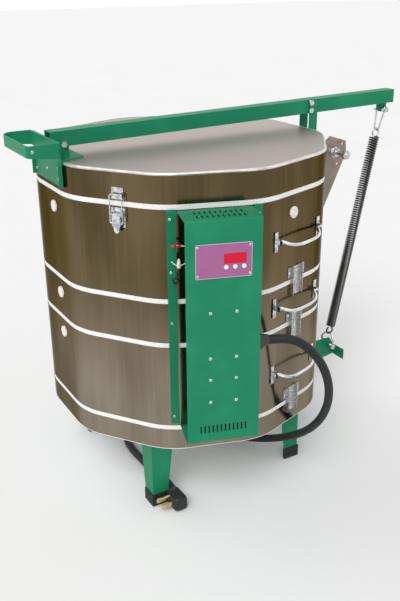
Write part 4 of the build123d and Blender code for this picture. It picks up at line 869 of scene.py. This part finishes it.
def printed_plate():
    """Satin print, with bare aluminium within a rim's width of the edge."""
    plate = Surface("printed controller plate")
    faced = plate.place(turn=radians(-BOX_SIDE))
    along = plate.add("ShaderNodeSeparateXYZ", None, {0: faced}, output=1)
    height = plate.add("ShaderNodeSeparateXYZ", None, {0: faced}, output=2)
    past_side = abs(along - CONTROLLER_MIDDLE[0]) > CONTROLLER_HALF[0] - RIM
    past_end = abs(height - CONTROLLER_MIDDLE[1]) > CONTROLLER_HALF[1] - RIM
    rim = plate.add("ShaderNodeMath", {"operation": "MAXIMUM"}, {0: past_side, 1: past_end})
    cloud = plate.noise(0.04, detail=3.0)
    print_colour = plate.between(cloud, (0.335, 0.098, 0.262), (0.405, 0.130, 0.318))
    return plate.shade(base_color=plate.between(rim, print_colour, (0.78, 0.78, 0.79)), metallic=0.9 * rim,
                       roughness=0.34 + 0.08 * cloud, normal=plate.bump(plate.noise(0.0008), 0.00004))


def moulded_plastic(name, colour, roughness):
    """Moulded plastic with a faint texture."""
    plastic = Surface(name)
    cloud = plastic.noise(0.015, detail=3.0)
    deeper = [0.9 * part for part in colour]
    return plastic.shade(base_color=plastic.between(cloud, colour, deeper),
                         roughness=roughness + 0.06 * cloud,
                         normal=plastic.bump(plastic.noise(0.0006), 0.00003))


def red_window():
    """Red acrylic with a gloss face over a dark display."""
    window = Surface("red display window")
    cloud = window.noise(0.02, detail=2.0)
    return window.shade(base_color=window.between(cloud, (0.60, 0.006, 0.030), (0.72, 0.010, 0.040)),
                        roughness=0.16, specular_ior_level=0.16, coat_weight=0.10, coat_roughness=0.08)


finish_nodes(printed_plate(), "controller_plate")
finish_nodes(red_window(), "display_window")
finish_nodes(moulded_plastic("white button plastic", (0.86, 0.86, 0.85), 0.42),
             "button_1", "button_2", "button_3")
finish_nodes(moulded_plastic("black relay plastic", (0.030, 0.030, 0.032), 0.40), "relays_and_transformer")
finish_nodes(moulded_plastic("gland plastic", (0.028, 0.029, 0.031), 0.38), "cable_gland")


def circuit_laminate():
    """Green laminate with fine tracks that run both ways."""
    board = Surface("circuit laminate")
    squares = board.cells(420.0, 0.35, turn=radians(-BOX_SIDE), distance="CHEBYCHEV")
    tracks = board.part_of(squares, 0.42, 0.50)
    return board.shade(base_color=board.between(tracks, (0.020, 0.110, 0.045), (0.10, 0.30, 0.13)),
                       roughness=0.38)


finish_nodes(circuit_laminate(), "circuit_board")
WHITE_FROM = 0.17            # heights at which the wires in the box change from red to white, and back
RED_FROM = 0.325


def wire_insulation():
    """High-temperature insulation with a fine braid: the lowest wires are red, the middle ones white and the
    upper ones red again."""
    braid = Surface("wire insulation")
    height = braid.height()
    lower = braid.between(height > WHITE_FROM, (0.62, 0.028, 0.022), (0.80, 0.79, 0.76))
    colour = braid.between(height > RED_FROM, lower, (0.66, 0.032, 0.026))
    return braid.shade(base_color=colour, roughness=0.62, normal=braid.bump(braid.cells(1500.0, 0.3), 0.0002))


finish_nodes(wire_insulation(), "wiring_harness")

# Leads at the box's open left side: two wires that cross from the strip into the box, one with a pair of
# red sleeved connectors, the other with a ceramic cap nut, and a ring-shaped clip of black rubber.
LEADS = (                    # start, middle of the sag, and end: each out, along the side, height
    ("sleeved_lead", (0.379, -0.103, 0.484), (0.408, -0.094, 0.495), (0.402, -0.066, 0.486)),
    ("capped_lead", (0.379, -0.103, 0.446), (0.405, -0.090, 0.432), (0.402, -0.066, 0.456)),
)
LEAD_WIRE = 0.0013           # radius
LEAD_POINTS = 24
CLIP_RING = 0.0062           # radius of the clip at the middle of its section
CLIP_WIRE = 0.0023           # radius of that section
CLIP_POINTS = 40


def beside_box(out, along, height):
    """Point beside the box: out from the kiln's axis, along the box side, and height."""
    return on_side(BOX_SIDE, out, along, height)[0]


lead_insulation = moulded_plastic("white lead insulation", (0.74, 0.73, 0.70), 0.5)
for lead_name, lead_start, lead_sag, lead_end in LEADS:
    share = np.linspace(0, 1, LEAD_POINTS)[:, None]
    lead_line = ((1 - share) ** 2 * beside_box(*lead_start) + 2 * share * (1 - share) * beside_box(*lead_sag)
                 + share ** 2 * beside_box(*lead_end))
    lead_upward = np.tile([0.0, 0.0, 1.0], (LEAD_POINTS, 1))
    add_piece(lead_name, wire_form([(lead_line, lead_upward)], LEAD_WIRE, 8), lead_insulation, "kiln")

box_outward, box_lengthwise = side_directions(BOX_SIDE)
sleeve_profile = np.array([[0.0018, -0.0062], [0.0030, -0.0058], [0.0034, -0.0045], [0.0034, 0.0020],
                           [0.0027, 0.0032], [0.0027, 0.0058], [0.0018, 0.0062]])
sleeve_places = [(beside_box(0.3995, -0.0935 + offset, 0.4893), toward * box_lengthwise, box_outward)
                 for offset, toward in ((-0.0072, -1.0), (0.0072, 1.0))]
add_piece("lead_sleeves", turned_form(sleeve_places, sleeve_profile, 16),
          moulded_plastic("red sleeve plastic", (0.58, 0.014, 0.016), 0.35), "kiln")
cap_profile = np.array([[0.0030, -0.0110], [0.0047, -0.0100], [0.0050, -0.0060], [0.0043, 0.0020],
                        [0.0030, 0.0085], [0.0016, 0.0115], [0.0006, 0.0120]])
cap_place = (beside_box(0.3975, -0.0890, 0.4465), np.array([0.0, 0.0, 1.0]), box_outward)
add_piece("lead_cap_nut", turned_form([cap_place], cap_profile, 18), ceramic_white, "kiln")
clip_turn = np.linspace(0, 2 * pi, CLIP_POINTS)[:, None]
clip_line = (beside_box(0.3935, -0.0965, 0.4035) + CLIP_RING * np.cos(clip_turn) * box_lengthwise
             + CLIP_RING * np.sin(clip_turn) * np.array([0.0, 0.0, 1.0]))
clip_outward = np.tile(box_outward, (CLIP_POINTS, 1))
add_piece("lead_clip", wire_form([(clip_line, clip_outward)], CLIP_WIRE, 10),
          black_rubber("clip rubber", (0.018, 0.018, 0.019), 0.45, 0.01), "kiln")

# Power cord: a heavy round rubber cord, 22 mm thick, out of the gland on the box's right wall.
# It swings round in one loop, passes under the kiln and lies on the floor up to its plug.
CORD = 0.022                 # thickness
CORD_FLOOR = -0.2714         # height of the cord's middle where it lies on the floor
CORD_ROUTE = (
    (0.450994, -0.026144, 0.252),
    (0.46397, 0.0138, 0.252),
    (0.478, 0.053, 0.236),
    (0.487, 0.090, 0.198),
    (0.488, 0.123, 0.146),
    (0.476, 0.150, 0.084),
    (0.451, 0.170, 0.016),
    (0.412, 0.182, -0.052),
    (0.361, 0.184, -0.114),
    (0.301, 0.175, -0.163),
    (0.237, 0.158, -0.201),
    (0.171, 0.137, -0.230),
    (0.103, 0.114, -0.253),
    (0.033, 0.093, -0.267),
    (-0.038, 0.076, CORD_FLOOR),
    (-0.108, 0.052, CORD_FLOOR),
    (-0.155, 0.001, CORD_FLOOR),
    (-0.166, -0.069, CORD_FLOOR),
    (-0.136, -0.133, CORD_FLOOR),
    (-0.076, -0.172, CORD_FLOOR),
    (-0.007, -0.178, CORD_FLOOR),
    (0.061, -0.175, CORD_FLOOR),
    (0.126, -0.178, CORD_FLOOR + 0.001),
    (0.188, -0.174, -0.2625),
)
cord_rubber = black_rubber("cord rubber", (0.011, 0.012, 0.014), 0.46, 0.020)
power_cord = bent_rod("power_cord_rubber", CORD_ROUTE, CORD, 16, 7, cord_rubber)
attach(power_cord, "kiln")
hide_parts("power_cord")

# Plug: black rubber moulded round the cord's end, with brass blades set in its face. A ribbed neck widens
# into a head with a rounded back, and the plug lies on the floor along X.
NECK_START = 0.186
NECK_END = 0.240
NECK_RADIUS = 0.0135         # at the cord
NECK_GROWTH = 0.0035         # of the radius, along the neck
RIB_PITCH = 0.0062
RIB_DEPTH = 0.0008
RIBS_END = 0.230
HEAD_BLEND = 0.016           # length over which the neck turns into the head
HEAD_WIDTH = 0.0198          # half of it
HEAD_HEIGHT = 0.0208         # half of it
BACK_START = 0.2875
BACK_LENGTH = 0.012


def moulded_plug():
    """Sections along X that go from a circle to a rounded square: |y/w|^p + |z/h|^p = 1. The half width w,
    the half height h and the power p grow along the plug, ribs ripple the neck as a cosine, and a rounded
    form close to a quarter ellipse shuts the back."""
    x = np.concatenate([np.linspace(NECK_START, NECK_END, 46), np.linspace(NECK_END + 0.001, BACK_START, 16),
                        BACK_START + BACK_LENGTH * np.sin(np.linspace(0.1, pi / 2 - 0.02, 12))])
    neck = np.clip((x - NECK_START) / (NECK_END - NECK_START), 0, 1)
    head = np.clip((x - NECK_END) / HEAD_BLEND + 0.25, 0, 1)
    head = head * head * (3 - 2 * head)
    into_back = np.clip(x - BACK_START, 0, None) / (BACK_LENGTH + 0.0001)
    closing = 0.55 + 0.45 * np.sqrt(1 - into_back ** 2) ** 0.6
    ribs = RIB_DEPTH * np.cos(2 * pi * (x - NECK_START) / RIB_PITCH) * (x < RIBS_END)
    neck_radius = NECK_RADIUS + NECK_GROWTH * neck + ribs
    width = ((1 - head) * neck_radius + head * HEAD_WIDTH) * closing
    height = ((1 - head) * neck_radius + head * HEAD_HEIGHT) * closing
    power = 2 + 2.2 * head
    middle_y = -0.174 - 0.011 * np.maximum(0.6 * neck, head)
    middle_z = ground + 0.0200 + 0.0016 * np.maximum(0.2 * neck, head)
    angle = np.linspace(0, 2 * pi, 48, endpoint=False)[None, :]
    shape = 2 / power[:, None]
    y = middle_y[:, None] + width[:, None] * np.sign(np.cos(angle)) * abs(np.cos(angle)) ** shape
    z = middle_z[:, None] + height[:, None] * np.sign(np.sin(angle)) * abs(np.sin(angle)) ** shape
    return np.stack([x[:, None] + 0 * angle, y, z], axis=-1)


plug_skin = moulded_plug()
plug_rubber = black_rubber("plug rubber", (0.022, 0.023, 0.025), 0.40, 0.016)
plug_moulding = add_piece("plug_moulding", (plug_skin, tube_faces(*plug_skin.shape[:2])), plug_rubber, "kiln")
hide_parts("power_plug")
finish_nodes(bright_plating("blade brass", (0.78, 0.60, 0.28), 0.16, 0.01), "plug_blades")

# Studio: a pale floor just under the feet, two large soft lamps, and a pale surround that shows at full
# strength to the camera and in reflections, and lights the kiln at a part of it.
FLOOR_REACH = 30.0
FLOOR_GAP = 0.0003
floor_mesh = bpy.data.meshes.new("studio_floor")
floor_mesh.from_pydata([(x * FLOOR_REACH, y * FLOOR_REACH, ground - FLOOR_GAP)
                        for x, y in ((-1, -1), (1, -1), (1, 1), (-1, 1))], [], [(0, 1, 2, 3)])
floor_paint = Surface("pale floor")
floor_cloud = floor_paint.noise(0.4, detail=3.0)
floor_mesh.materials.append(floor_paint.shade(
    base_color=floor_paint.between(floor_cloud, (0.93, 0.93, 0.93), (0.96, 0.96, 0.96)), roughness=0.9,
    specular_ior_level=0.1))
studio_floor = bpy.data.objects.new("studio_floor", floor_mesh)
scene.collection.objects.link(studio_floor)

LAMPS = (                    # name, where it shines from, spread in degrees, strength
    ("key_lamp", (3.2, -3.2, 4.4), 32.0, 1.50),
    ("fill_lamp", (-3.4, -2.2, 3.0), 50.0, 0.45),
)
for lamp_name, lamp_from, lamp_spread, lamp_strength in LAMPS:
    lamp = bpy.data.lights.new(lamp_name, "SUN")
    lamp.angle = radians(lamp_spread)
    lamp.energy = lamp_strength
    lamp_object = bpy.data.objects.new(lamp_name, lamp)
    lamp_object.rotation_euler = (-Vector(lamp_from)).to_track_quat("-Z", "Y").to_euler()
    scene.collection.objects.link(lamp_object)

AMBIENT = 0.55               # share of its strength at which the surround lights the kiln
world = bpy.data.worlds.new("pale surround")
world.use_nodes = True
scene.world = world
sky = world.node_tree
rays = sky.nodes.new("ShaderNodeLightPath")
seen = rays.outputs["Is Camera Ray"]
for ray_kind in ("Is Glossy Ray", "Is Transmission Ray"):
    either = sky.nodes.new("ShaderNodeMath")
    either.operation = "MAXIMUM"
    sky.links.new(seen, either.inputs[0])
    sky.links.new(rays.outputs[ray_kind], either.inputs[1])
    seen = either.outputs[0]
level = sky.nodes.new("ShaderNodeMapRange")
level.inputs["To Min"].default_value = AMBIENT
level.inputs["To Max"].default_value = 1.0
sky.links.new(seen, level.inputs["Value"])
background = sky.nodes["Background"]
background.inputs["Color"].default_value = (1, 1, 1, 1)
sky.links.new(level.outputs["Result"], background.inputs["Strength"])

# Camera: at the photograph's place, a little above the lid and to the kiln's front right. Its place and
# directions were fitted to the kiln's joints, corners and box.
camera_place = Vector((1.8138, -1.0013, 1.0550))
camera_right = Vector((0.50442, 0.86342, -0.00804))
camera_up = Vector((-0.33087, 0.20189, 0.92183))
camera_back = camera_right.cross(camera_up)
camera_data = bpy.data.cameras.new("camera")
camera_data.lens = 46.84
camera_data.sensor_width = 36.0
camera = bpy.data.objects.new("camera", camera_data)
camera.matrix_world = Matrix((
    (camera_right.x, camera_up.x, camera_back.x, camera_place.x),
    (camera_right.y, camera_up.y, camera_back.y, camera_place.y),
    (camera_right.z, camera_up.z, camera_back.z, camera_place.z),
    (0, 0, 0, 1),
))
scene.collection.objects.link(camera)
scene.camera = camera
scene.view_settings.view_transform = "Standard"
